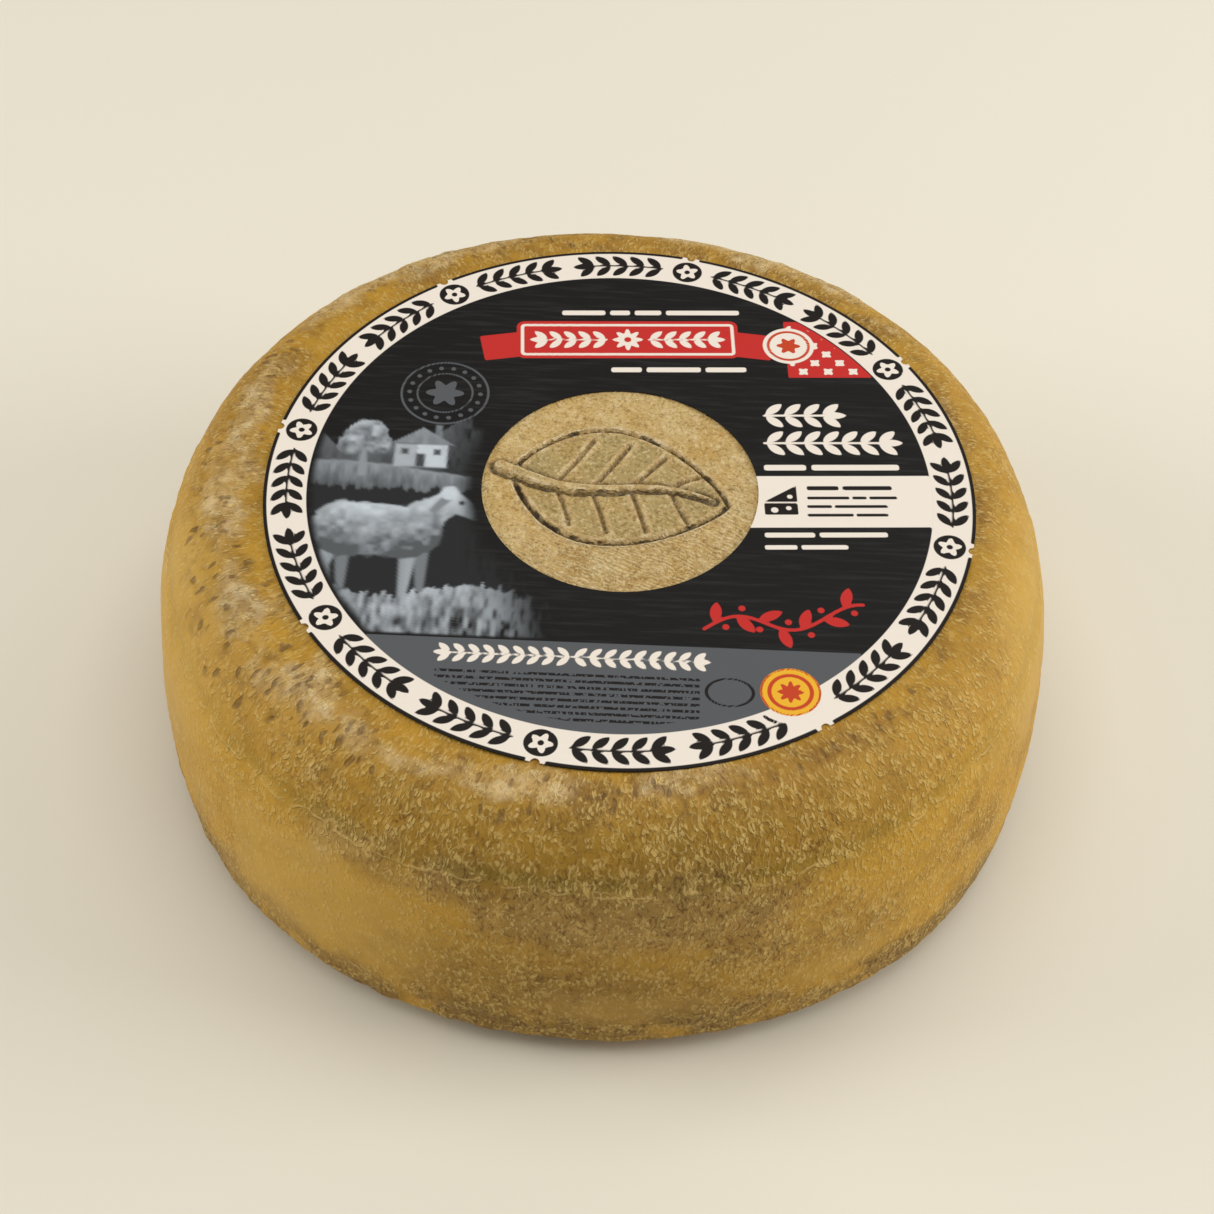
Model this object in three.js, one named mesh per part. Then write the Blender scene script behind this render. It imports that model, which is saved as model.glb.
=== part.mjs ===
// A whole pressed cheese wheel with a ring-shaped paper label glued on its top face.
// Millimetres, +Z up. The origin is the middle of the base, where the wheel rests.

import * as THREE from 'three';

// The wheel
const WHEEL_RADIUS = 130;
const WHEEL_HEIGHT = 92;
const TOP_FLAT_RADIUS = 104.5; // the pressed face stays flat this far out
const SHOULDER_DROP = 37; // height over which the shoulder rounds into the side
const BELLY = 1.4; // how far the middle of the side stands out past its ends
const BASE_EDGE_RUN = 19; // the round between the side and the base, inwards
const BASE_EDGE_RISE = 10; // the same round, upwards

// The crease that the press cloth leaves round the shoulder
const CREASE_HEIGHT = 75;
const CREASE_DEPTH = 0.6;
const CREASE_WIDTH = 2.6;

// Slow waves that keep the plan from being a true circle: lobes, size and direction of a high point
const PLAN_WAVES = [
  { lobes: 2, size: 0.36, toward: 145 },
  { lobes: 3, size: 0.53, toward: 82 },
  { lobes: 4, size: 1.08, toward: 45 },
];

// The label
const LABEL_RADIUS = 100;
const LABEL_HOLE_RADIUS = 39;
const LABEL_THICKNESS = 0.3;
const GLUE_GAP = 0.3; // the film of glue and air between the label and the rind
const LABEL_SHIFT = new THREE.Vector2(3.6, 1.5); // it was stuck on slightly off centre
const NOTCH_COUNT = 8;
const NOTCH_RADIUS = 1.3;
const NOTCH_TURN = 34; // degrees from +X to the first notch

// Steps along each stretch
const STEPS_AROUND = 96;
const STEPS_BASE_EDGE = 7;
const STEPS_SIDE = 8;
const STEPS_SHOULDER = 20;
const STEPS_LABEL_HOLE = 72;
const STEPS_BETWEEN_NOTCHES = 12;
const STEPS_NOTCH = 6;

const SIDE_END_RADIUS = WHEEL_RADIUS - BELLY;
const rind = new THREE.MeshStandardMaterial({ color: 0xa07a3c, roughness: 0.62, metalness: 0 });
const paper = new THREE.MeshStandardMaterial({ color: 0x2a2723, roughness: 0.45, metalness: 0 });

// Half of the wheel's section, from the middle of the base to the middle of the top.
function wheelProfile() {
  const points = [new THREE.Vector2(0, 0)];
  for (let i = 0; i <= STEPS_BASE_EDGE; i += 1) {
    const turn = (Math.PI / 2) * (i / STEPS_BASE_EDGE);
    const radius = SIDE_END_RADIUS - BASE_EDGE_RUN * (1 - Math.sin(turn));
    points.push(new THREE.Vector2(radius, BASE_EDGE_RISE * (1 - Math.cos(turn))));
  }
  const sideTop = WHEEL_HEIGHT - SHOULDER_DROP;
  for (let i = 1; i < STEPS_SIDE; i += 1) {
    const along = i / STEPS_SIDE;
    const radius = SIDE_END_RADIUS + BELLY * (1 - (2 * along - 1) ** 2);
    points.push(new THREE.Vector2(radius, THREE.MathUtils.lerp(BASE_EDGE_RISE, sideTop, along)));
  }
  const shoulderRun = SIDE_END_RADIUS - TOP_FLAT_RADIUS;
  for (let i = 0; i <= STEPS_SHOULDER; i += 1) {
    const turn = (Math.PI / 2) * (i / STEPS_SHOULDER);
    const radius = TOP_FLAT_RADIUS + shoulderRun * Math.cos(turn);
    const height = sideTop + SHOULDER_DROP * Math.sin(turn);
    const crease = CREASE_DEPTH * Math.exp(-(((height - CREASE_HEIGHT) / CREASE_WIDTH) ** 2));
    points.push(new THREE.Vector2(radius - crease, height));
  }
  points.push(new THREE.Vector2(0, WHEEL_HEIGHT));
  return points;
}

// How much larger than the plain circle the plan is in one direction, as a factor.
function planScale(direction) {
  return PLAN_WAVES.reduce((scale, wave) => {
    const phase = wave.lobes * (direction - THREE.MathUtils.degToRad(wave.toward));
    return scale + (wave.size / WHEEL_RADIUS) * Math.cos(phase);
  }, 1);
}

// The section turned about the upright axis, then stretched by the plan's slow waves.
function wheelGeometry() {
  const geometry = new THREE.LatheGeometry(wheelProfile(), STEPS_AROUND);
  geometry.rotateX(Math.PI / 2);
  const positions = geometry.getAttribute('position');
  for (let i = 0; i < positions.count; i += 1) {
    const scale = planScale(Math.atan2(positions.getY(i), positions.getX(i)));
    positions.setXY(i, positions.getX(i) * scale, positions.getY(i) * scale);
  }
  return geometry;
}

// A ring of paper: a round hole in the middle and small round bites along the outer edge.
function labelGeometry() {
  const outline = [];
  const notchReach = NOTCH_RADIUS / LABEL_RADIUS; // half a notch's width, as an angle
  for (let notch = 0; notch < NOTCH_COUNT; notch += 1) {
    const middle = THREE.MathUtils.degToRad(NOTCH_TURN + (notch * 360) / NOTCH_COUNT);
    for (let i = 0; i <= STEPS_NOTCH; i += 1) {
      const turn = Math.PI * (i / STEPS_NOTCH);
      const angle = middle - notchReach * Math.cos(turn);
      const radius = LABEL_RADIUS - NOTCH_RADIUS * Math.sin(turn);
      outline.push(new THREE.Vector2(radius * Math.cos(angle), radius * Math.sin(angle)));
    }
    const arcStart = middle + notchReach;
    const arcLength = (2 * Math.PI) / NOTCH_COUNT - 2 * notchReach;
    for (let i = 1; i < STEPS_BETWEEN_NOTCHES; i += 1) {
      const angle = arcStart + arcLength * (i / STEPS_BETWEEN_NOTCHES);
      outline.push(new THREE.Vector2(LABEL_RADIUS * Math.cos(angle), LABEL_RADIUS * Math.sin(angle)));
    }
  }
  const shape = new THREE.Shape(outline);
  const hole = new THREE.Path();
  hole.absarc(0, 0, LABEL_HOLE_RADIUS, 0, 2 * Math.PI, true);
  shape.holes.push(new THREE.Path(hole.getPoints(STEPS_LABEL_HOLE).slice(0, -1)));
  return new THREE.ExtrudeGeometry(shape, { depth: LABEL_THICKNESS, bevelEnabled: false });
}

const wheel = new THREE.Mesh(wheelGeometry(), rind);
wheel.name = 'cheese_wheel';

const label = new THREE.Mesh(labelGeometry(), paper);
label.name = 'paper_label';
label.position.set(LABEL_SHIFT.x, LABEL_SHIFT.y, WHEEL_HEIGHT + GLUE_GAP);

const cheese = new THREE.Group();
cheese.add(wheel, label);

// The plan isn't quite round, so the pair is moved to put the origin under the middle of its box.
const middle = new THREE.Box3().setFromObject(wheel).getCenter(new THREE.Vector3());
cheese.position.set(-middle.x, -middle.y, 0);

export default cheese;
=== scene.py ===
import logging
import math
from dataclasses import dataclass, field
from enum import Enum
from typing import Any

import bpy
import numpy as np
from mathutils import Matrix, Vector


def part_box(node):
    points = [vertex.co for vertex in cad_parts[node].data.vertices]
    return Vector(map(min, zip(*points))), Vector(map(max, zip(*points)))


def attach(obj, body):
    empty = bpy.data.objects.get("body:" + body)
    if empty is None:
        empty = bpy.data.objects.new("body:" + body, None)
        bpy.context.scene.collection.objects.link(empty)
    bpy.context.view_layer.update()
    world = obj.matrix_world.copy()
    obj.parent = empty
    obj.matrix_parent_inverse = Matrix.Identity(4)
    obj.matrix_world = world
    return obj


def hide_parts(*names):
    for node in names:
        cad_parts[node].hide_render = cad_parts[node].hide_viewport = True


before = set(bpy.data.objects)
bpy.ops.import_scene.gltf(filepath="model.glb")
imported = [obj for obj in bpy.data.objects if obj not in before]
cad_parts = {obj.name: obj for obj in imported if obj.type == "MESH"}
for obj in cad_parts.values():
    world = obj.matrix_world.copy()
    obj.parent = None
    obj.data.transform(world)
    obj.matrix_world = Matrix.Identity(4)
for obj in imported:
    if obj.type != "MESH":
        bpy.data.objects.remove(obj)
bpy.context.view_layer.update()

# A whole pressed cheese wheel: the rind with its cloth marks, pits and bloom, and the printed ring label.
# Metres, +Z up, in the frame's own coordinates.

MM = 0.001
FULL_TURN = 2 * math.pi
BODY = "root"
Colour = tuple[float, float, float, float]
Spot = tuple[float, float]
Row = tuple[Spot, tuple[int, ...], float]  # a row's left end, its bars' lengths and their height, in mm

log = logging.getLogger("cheese_wheel")


def srgb(red: int, green: int, blue: int) -> Colour:
    """Turns a colour as a screen shows it into the linear one that shaders use.

    Args:
        red: 0 to 255.
        green: 0 to 255.
        blue: 0 to 255.

    Returns:
        Linear red, green and blue, and an alpha of 1.
    """
    linear = [((c / 255 + 0.055) / 1.055) ** 2.4 if c > 10 else c / 255 / 12.92 for c in (red, green, blue)]
    return (linear[0], linear[1], linear[2], 1.0)


def ease(values: np.ndarray, low: float, high: float) -> np.ndarray:
    """Rises smoothly from 0 at low to 1 at high: 3t² - 2t³ of the share of the way.

    Args:
        values: where to work it out.
        low: where it is still 0.
        high: where it has reached 1.

    Returns:
        The eased share, the same shape as values.
    """
    share = np.clip((values - low) / (high - low), 0.0, 1.0)
    return share * share * (3.0 - 2.0 * share)


def hump(distance: np.ndarray, width: float) -> np.ndarray:
    """A bell of height 1 at distance 0: e to the minus (distance / width)²."""
    return np.exp(-((distance / width) ** 2))


def wrapped(values: np.ndarray, pitch: float) -> np.ndarray:
    """Values less the nearest whole number of pitches, so from minus half a pitch to half a pitch."""
    return (values + pitch / 2) % pitch - pitch / 2


def folded(places: np.ndarray) -> np.ndarray:
    """Folds what is drawn on the right over to the left too: (|x|, y)."""
    return np.stack([np.abs(places[:, 0]), places[:, 1]], axis=1)


class Lattice:
    """Repeatable noise: random numbers hashed from whole-number cells, smoothly blended between them."""

    def __init__(self, seed: int) -> None:
        """Keeps the seed that tells one noise from another."""
        self.seed = seed

    def _draw(self, cells: np.ndarray, salt: int) -> np.ndarray:
        """Hashes cells to random numbers.

        Args:
            cells: whole numbers, three to a cell, in the last axis.
            salt: tells apart several numbers drawn for one cell.

        Returns:
            One number from 0 to 1 for each cell.
        """
        low_bits = np.uint64(0xFFFFFFFF)
        shift = np.uint64(16)
        stir = np.uint64(0x45D9F3B)
        key = cells.astype(np.int64).astype(np.uint64) & low_bits
        mixed = key[..., 0] * np.uint64(73856093) ^ key[..., 1] * np.uint64(19349663)
        mixed = mixed ^ key[..., 2] * np.uint64(83492791) ^ np.uint64(self.seed * 7919 + salt * 104729)
        for _ in range(3):
            mixed = mixed & low_bits
            mixed = ((mixed >> shift) ^ mixed) * stir
        return ((mixed >> shift) & np.uint64(0xFFFFFF)).astype(float) / 0xFFFFFF

    def smooth(self, points: np.ndarray, cell: float) -> np.ndarray:
        """Value noise: each cell corner's random number, blended by 6t⁵ - 15t⁴ + 10t³ across the cell.

        Args:
            points: places, three numbers each.
            cell: the size of a cell, in metres.

        Returns:
            Numbers from -1 to 1.
        """
        scaled = points / cell
        floor = np.floor(scaled)
        part = scaled - floor
        blend = part**3 * (part * (part * 6.0 - 15.0) + 10.0)
        total = np.zeros(len(points))
        for corner in np.ndindex(2, 2, 2):
            offset = np.array(corner)
            weight = np.prod(np.where(offset == 1, blend, 1.0 - blend), axis=1)
            total += weight * self._draw(floor + offset, 0)
        return total * 2.0 - 1.0

    def fractal(self, points: np.ndarray, cell: float, octaves: int = 3) -> np.ndarray:
        """Several smooth noises added up, each of half the size and half the strength of the last.

        Args:
            points: places, three numbers each.
            cell: the size of the largest noise's cell, in metres.
            octaves: how many noises are added.

        Returns:
            Numbers from about -1 to 1.
        """
        total = np.zeros(len(points))
        for octave in range(octaves):
            moved = points + 0.137 * octave
            total += self.smooth(moved, cell / 2**octave) / 2**octave
        return total / (2.0 - 2.0 ** (1 - octaves))

    def spots(self, points: np.ndarray, cell: float) -> tuple[np.ndarray, np.ndarray]:
        """Distance to the nearest of the points scattered one to a cell.

        Args:
            points: places, three numbers each.
            cell: the size of a cell, in metres.

        Returns:
            The distance in metres, and the nearest spot's own random number from 0 to 1.
        """
        scaled = points / cell
        floor = np.floor(scaled)
        best = np.full(len(points), 9.0)
        token = np.zeros(len(points))
        for corner in np.ndindex(3, 3, 3):
            home = floor + np.array(corner) - 1.0
            spot = home + np.stack([self._draw(home, salt) for salt in (1, 2, 3)], axis=1)
            away = np.linalg.norm(spot - scaled, axis=1)
            nearer = away < best
            best = np.where(nearer, away, best)
            token = np.where(nearer, self._draw(home, 4), token)
        return best * cell, token


class Wire:
    """A node's output, with arithmetic: each sum or product adds the Math node that works it out."""

    def __init__(self, board: "Board", socket: bpy.types.NodeSocket) -> None:
        """Keeps the socket and the material that it belongs to."""
        self.board = board
        self.socket = socket

    def _math(self, operation: str, first: Any, second: Any) -> "Wire":
        """Adds one Math node of two values."""
        return self.board.node("ShaderNodeMath", {"operation": operation}, {0: first, 1: second})

    def __add__(self, other: Any) -> "Wire":
        """self + other."""
        return self._math("ADD", self, other)

    def __radd__(self, other: Any) -> "Wire":
        """other + self."""
        return self._math("ADD", other, self)

    def __sub__(self, other: Any) -> "Wire":
        """self - other."""
        return self._math("SUBTRACT", self, other)

    def __rsub__(self, other: Any) -> "Wire":
        """other - self."""
        return self._math("SUBTRACT", other, self)

    def __mul__(self, other: Any) -> "Wire":
        """self * other."""
        return self._math("MULTIPLY", self, other)

    def __rmul__(self, other: Any) -> "Wire":
        """other * self."""
        return self._math("MULTIPLY", other, self)


class Board:
    """One material's nodes, added one at a time around its surface shader."""

    def __init__(self, name: str) -> None:
        """Starts a material with only a surface shader in it.

        Args:
            name: the material's name.
        """
        self.material = bpy.data.materials.new(name)
        self.material.use_nodes = True
        self.tree = self.material.node_tree
        self.shader = self.tree.nodes["Principled BSDF"]

    def node(self, kind: str, settings: dict[str, Any], inputs: dict[Any, Any], output: Any = 0) -> Wire:
        """Adds a node of any kind.

        Args:
            kind: the node's type.
            settings: its properties, which are set first.
            inputs: each socket's value or the wire that feeds it, by the socket's name or number.
            output: the output that is wanted, by name or number.

        Returns:
            That output as a wire.
        """
        made = self.tree.nodes.new(kind)
        for name, value in settings.items():
            setattr(made, name, value)
        for key, value in inputs.items():
            self.feed(made.inputs[key], value)
        return Wire(self, made.outputs[output])

    def feed(self, socket: bpy.types.NodeSocket, value: Any) -> None:
        """Sets a socket to a value, or links a wire to it.

        Args:
            socket: the input.
            value: a number, colour or vector, or the wire to link.
        """
        if isinstance(value, Wire):
            self.tree.links.new(value.socket, socket)
        else:
            socket.default_value = value

    def finish(self, settings: dict[str, Any]) -> bpy.types.Material:
        """Feeds the surface shader and gives the material back.

        Args:
            settings: the shader's sockets by name.

        Returns:
            The finished material.
        """
        for name, value in settings.items():
            self.feed(self.shader.inputs[name], value)
        return self.material

    def attribute(self, name: str, output: str = "Fac") -> Wire:
        """Reads one of the piece's own attributes."""
        return self.node("ShaderNodeAttribute", {"attribute_name": name}, {}, output)

    def part(self, vector: Wire, axis: str) -> Wire:
        """Takes one part of a vector: X, Y or Z."""
        return self.node("ShaderNodeSeparateXYZ", {}, {"Vector": vector}, axis)

    def magnitude(self, value: Wire) -> Wire:
        """The value without its sign."""
        return self.node("ShaderNodeMath", {"operation": "ABSOLUTE"}, {0: value})

    def stretched(self, vector: Wire, factors: tuple[float, float, float]) -> Wire:
        """Multiplies a vector part by part."""
        return self.node("ShaderNodeVectorMath", {"operation": "MULTIPLY"}, {0: vector, 1: factors})

    def bent(self, vector: Wire, grain: float, reach: float) -> Wire:
        """Bends what is drawn along a vector.

        Args:
            vector: where to read it, in metres.
            grain: the size of the patches that bend alike.
            reach: how far they are moved, in metres.

        Returns:
            The vector, moved to and fro.
        """
        sockets = {"Vector": vector, "Scale": 0.5 / grain, "Detail": 1.0}
        sway = self.node("ShaderNodeTexNoise", {}, sockets, "Color")
        inputs = {0: sway, 1: (2 * reach, 2 * reach, 2 * reach), 2: (-reach, -reach, -reach)}
        offset = self.node("ShaderNodeVectorMath", {"operation": "MULTIPLY_ADD"}, inputs)
        return self.node("ShaderNodeVectorMath", {"operation": "ADD"}, {0: vector, 1: offset})

    def noise(self, vector: Wire, grain: float, detail: float = 2.0, roughness: float = 0.5) -> Wire:
        """Noise whose patches are about one grain across.

        Args:
            vector: where to read it, in metres.
            grain: the size of its patches, in metres.
            detail: how many finer layers it has.
            roughness: how strong those are.

        Returns:
            Its strength, around 0.5.
        """
        sockets = {"Vector": vector, "Scale": 0.5 / grain, "Detail": detail, "Roughness": roughness}
        return self.node("ShaderNodeTexNoise", {}, sockets)

    def spots(self, vector: Wire, spacing: float) -> Wire:
        """Distance to the nearest of scattered points, as a share of their spacing."""
        return self.node("ShaderNodeTexVoronoi", {}, {"Vector": vector, "Scale": 1 / spacing}, "Distance")

    def step(self, value: Wire, low: float, high: float) -> Wire:
        """Rises smoothly from 0 where the value is low to 1 where it is high; low may be the larger."""
        settings = {"interpolation_type": "SMOOTHSTEP", "clamp": True}
        return self.node("ShaderNodeMapRange", settings, {"Value": value, "From Min": low, "From Max": high})

    def mix(self, share: Any, first: Any, second: Any, blend: str = "MIX") -> Wire:
        """Blends two colours.

        Args:
            share: how much of the second is used, 0 to 1.
            first: the colour at 0.
            second: the colour at 1.
            blend: the way they are blended.

        Returns:
            The blended colour.
        """
        settings = {"data_type": "RGBA", "blend_type": blend}
        return self.node("ShaderNodeMix", settings, {0: share, 6: first, 7: second}, 2)

    def bump(self, height: Wire, distance: float, strength: float = 1.0) -> Wire:
        """Turns heights from 0 to 1 into a tilted normal.

        Args:
            height: the height, where 1 stands for the full distance.
            distance: that distance, in metres.
            strength: how much of the tilt is used.

        Returns:
            The normal.
        """
        return self.node("ShaderNodeBump", {}, {"Height": height, "Distance": distance, "Strength": strength})


def make_piece(name: str, points: np.ndarray, quads: np.ndarray, triangles: np.ndarray) -> bpy.types.Object:
    """Makes an object whose mesh holds the given faces, smooth shaded.

    Args:
        name: the object's name.
        points: vertex places, three numbers each.
        quads: four vertex numbers for each four-sided face.
        triangles: three vertex numbers for each three-sided face.

    Returns:
        The object, at the origin.
    """
    mesh = bpy.data.meshes.new(name)
    mesh.vertices.add(len(points))
    mesh.vertices.foreach_set("co", points.astype(np.float32).ravel())
    corners = np.concatenate([quads.ravel(), triangles.ravel()]).astype(np.int32)
    sizes = np.concatenate([np.full(len(quads), 4), np.full(len(triangles), 3)])
    mesh.loops.add(len(corners))
    mesh.loops.foreach_set("vertex_index", corners)
    mesh.polygons.add(len(sizes))
    mesh.polygons.foreach_set("loop_start", (np.cumsum(sizes) - sizes).astype(np.int32))
    mesh.polygons.foreach_set("use_smooth", np.ones(len(sizes), bool))
    mesh.update(calc_edges=True)
    mesh.validate()
    piece = bpy.data.objects.new(name, mesh)
    bpy.context.scene.collection.objects.link(piece)
    return piece


def write_attribute(piece: bpy.types.Object, name: str, values: np.ndarray) -> None:
    """Stores one value, vector or colour for each vertex.

    Args:
        piece: the object.
        name: the attribute's name.
        values: one row for each vertex: a number, three numbers or four numbers.
    """
    width = 1 if values.ndim == 1 else values.shape[1]
    kind, key = {1: ("FLOAT", "value"), 3: ("FLOAT_VECTOR", "vector"), 4: ("FLOAT_COLOR", "color")}[width]
    layer = piece.data.attributes.new(name, kind, "POINT")
    layer.data.foreach_set(key, values.astype(np.float32).ravel())


def settle(piece: bpy.types.Object, node: str, material: bpy.types.Material) -> None:
    """Dresses a piece, hangs it on the body and hides the frame's node that it stands for.

    Args:
        piece: the finished object.
        node: the frame's node that it replaces.
        material: the finish.
    """
    piece.data.materials.append(material)
    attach(piece, BODY)
    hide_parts(node)
    log.info("%s: %d vertices, %d faces", piece.name, len(piece.data.vertices), len(piece.data.polygons))


def joined_rings(first: np.ndarray, second: np.ndarray) -> np.ndarray:
    """Four-sided faces between two closed rings with the same number of vertices.

    Args:
        first: the vertex numbers round one ring.
        second: those round the next one.

    Returns:
        Four vertex numbers for each face.
    """
    return np.stack([first, np.roll(first, -1), np.roll(second, -1), second], axis=1)


def distance_to_path(places: np.ndarray, path: np.ndarray) -> np.ndarray:
    """Shortest distance from each place to a path of straight stretches.

    Each place is dropped square onto every stretch, held between its ends, and the nearest foot counts.

    Args:
        places: two numbers each.
        path: the path's points in order, two numbers each.

    Returns:
        One distance for each place.
    """
    start, along = path[:-1], np.diff(path, axis=0)
    away = places[:, None, :] - start
    share = np.clip((away * along).sum(2) / (along**2).sum(1), 0.0, 1.0)
    return np.linalg.norm(away - share[..., None] * along, axis=2).min(axis=1)


@dataclass(frozen=True)
class Area:
    """A soft-edged area of the skin."""

    azimuth: float  # degrees round from +X
    arc: float  # metres down the skin from the edge of the flat top
    half_turn: float  # degrees
    half_arc: float  # metres
    strength: float = 1.0

    def cover(self, azimuth: np.ndarray, arc: np.ndarray) -> np.ndarray:
        """How much of the area is at each place: e to the minus third power of the distance from its middle.

        Args:
            azimuth: degrees round from +X.
            arc: metres down the skin.

        Returns:
            0 to the area's strength.
        """
        turn = wrapped(azimuth - self.azimuth, 360.0)
        distance = np.hypot(turn / self.half_turn, (arc - self.arc) / self.half_arc)
        return self.strength * np.exp(-(distance**3))


def covered(areas: tuple[Area, ...], azimuth: np.ndarray, arc: np.ndarray) -> np.ndarray:
    """The largest cover that any of the areas gives at each place."""
    return np.max([area.cover(azimuth, arc) for area in areas], axis=0)


@dataclass(frozen=True)
class Zones:
    """Where the skin changes, as the wheel's own areas."""

    pale_crust: tuple[Area, ...] = (
        Area(-99, 1 * MM, 13, 5.5 * MM),
        Area(-118, 3 * MM, 14, 4 * MM, 0.55),
        Area(-76, 0, 14, 4 * MM, 0.6),
        Area(-146, 4 * MM, 24, 9 * MM, 0.72),
        Area(176, 4 * MM, 24, 9 * MM, 0.72),
        Area(125, 9 * MM, 26, 8 * MM, 0.95),
        Area(62, 10 * MM, 24, 6 * MM, 0.8),
        Area(15, 1 * MM, 20, 3 * MM, 0.35),
    )
    grey_bloom: tuple[Area, ...] = (
        Area(-84, 40 * MM, 24, 14 * MM),
        Area(-112, 34 * MM, 18, 8 * MM, 0.8),
        Area(-62, 56 * MM, 16, 20 * MM, 0.6),
        Area(60, 48 * MM, 26, 22 * MM, 0.7),
        Area(150, 56 * MM, 18, 24 * MM, 0.5),
        Area(210, 84 * MM, 14, 10 * MM, 0.6),
    )
    olive_band: tuple[Area, ...] = (
        Area(-92, 27 * MM, 42, 30 * MM),
        Area(100, 27 * MM, 40, 30 * MM, 0.8),
    )
    dull: tuple[Area, ...] = (
        Area(-93, 70 * MM, 26, 20 * MM),
        Area(-86, 20 * MM, 38, 17 * MM, 0.85),
        Area(85, 60 * MM, 30, 26 * MM, 0.7),
        Area(30, 30 * MM, 16, 14 * MM, 0.5),
    )
    honey: tuple[Area, ...] = (
        Area(-126, 62 * MM, 20, 30 * MM),
        Area(-84, 78 * MM, 13, 9 * MM, 0.6),
        Area(-162, 40 * MM, 22, 40 * MM, 0.75),
        Area(-58, 74 * MM, 8, 9 * MM, 0.6),
        Area(-12, 30 * MM, 22, 26 * MM, 0.8),
        Area(40, 70 * MM, 16, 20 * MM, 0.7),
        Area(110, 62 * MM, 18, 24 * MM, 0.8),
    )
    pitted: tuple[Area, ...] = (
        Area(-100, 4 * MM, 34, 8 * MM),
        Area(-150, 7 * MM, 36, 15 * MM),
        Area(165, 7 * MM, 30, 12 * MM, 0.85),
        Area(110, 8 * MM, 36, 10 * MM, 0.7),
        Area(-48, 2 * MM, 24, 6 * MM, 0.7),
        Area(50, 5 * MM, 30, 7 * MM, 0.5),
    )


@dataclass(frozen=True)
class RindTones:
    """The colours of the skin, from its deepest to its palest."""

    ochre: Colour = srgb(197, 149, 42)
    deep_ochre: Colour = srgb(166, 120, 26)
    olive: Colour = srgb(132, 106, 16)
    dull: Colour = srgb(146, 112, 36)
    honey: Colour = srgb(200, 158, 62)
    # also the painted highlight on the emblem's lips
    beige_and_lip_highlight: Colour = srgb(204, 172, 116)
    pressed: Colour = srgb(206, 178, 120)
    khaki: Colour = srgb(162, 142, 90)
    grey: Colour = srgb(160, 130, 78)
    crust: Colour = srgb(138, 108, 50)
    brown: Colour = srgb(138, 98, 34)
    # also the painted shade in the emblem's clefts
    pit_and_cleft_shade: Colour = srgb(84, 58, 26)


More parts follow.
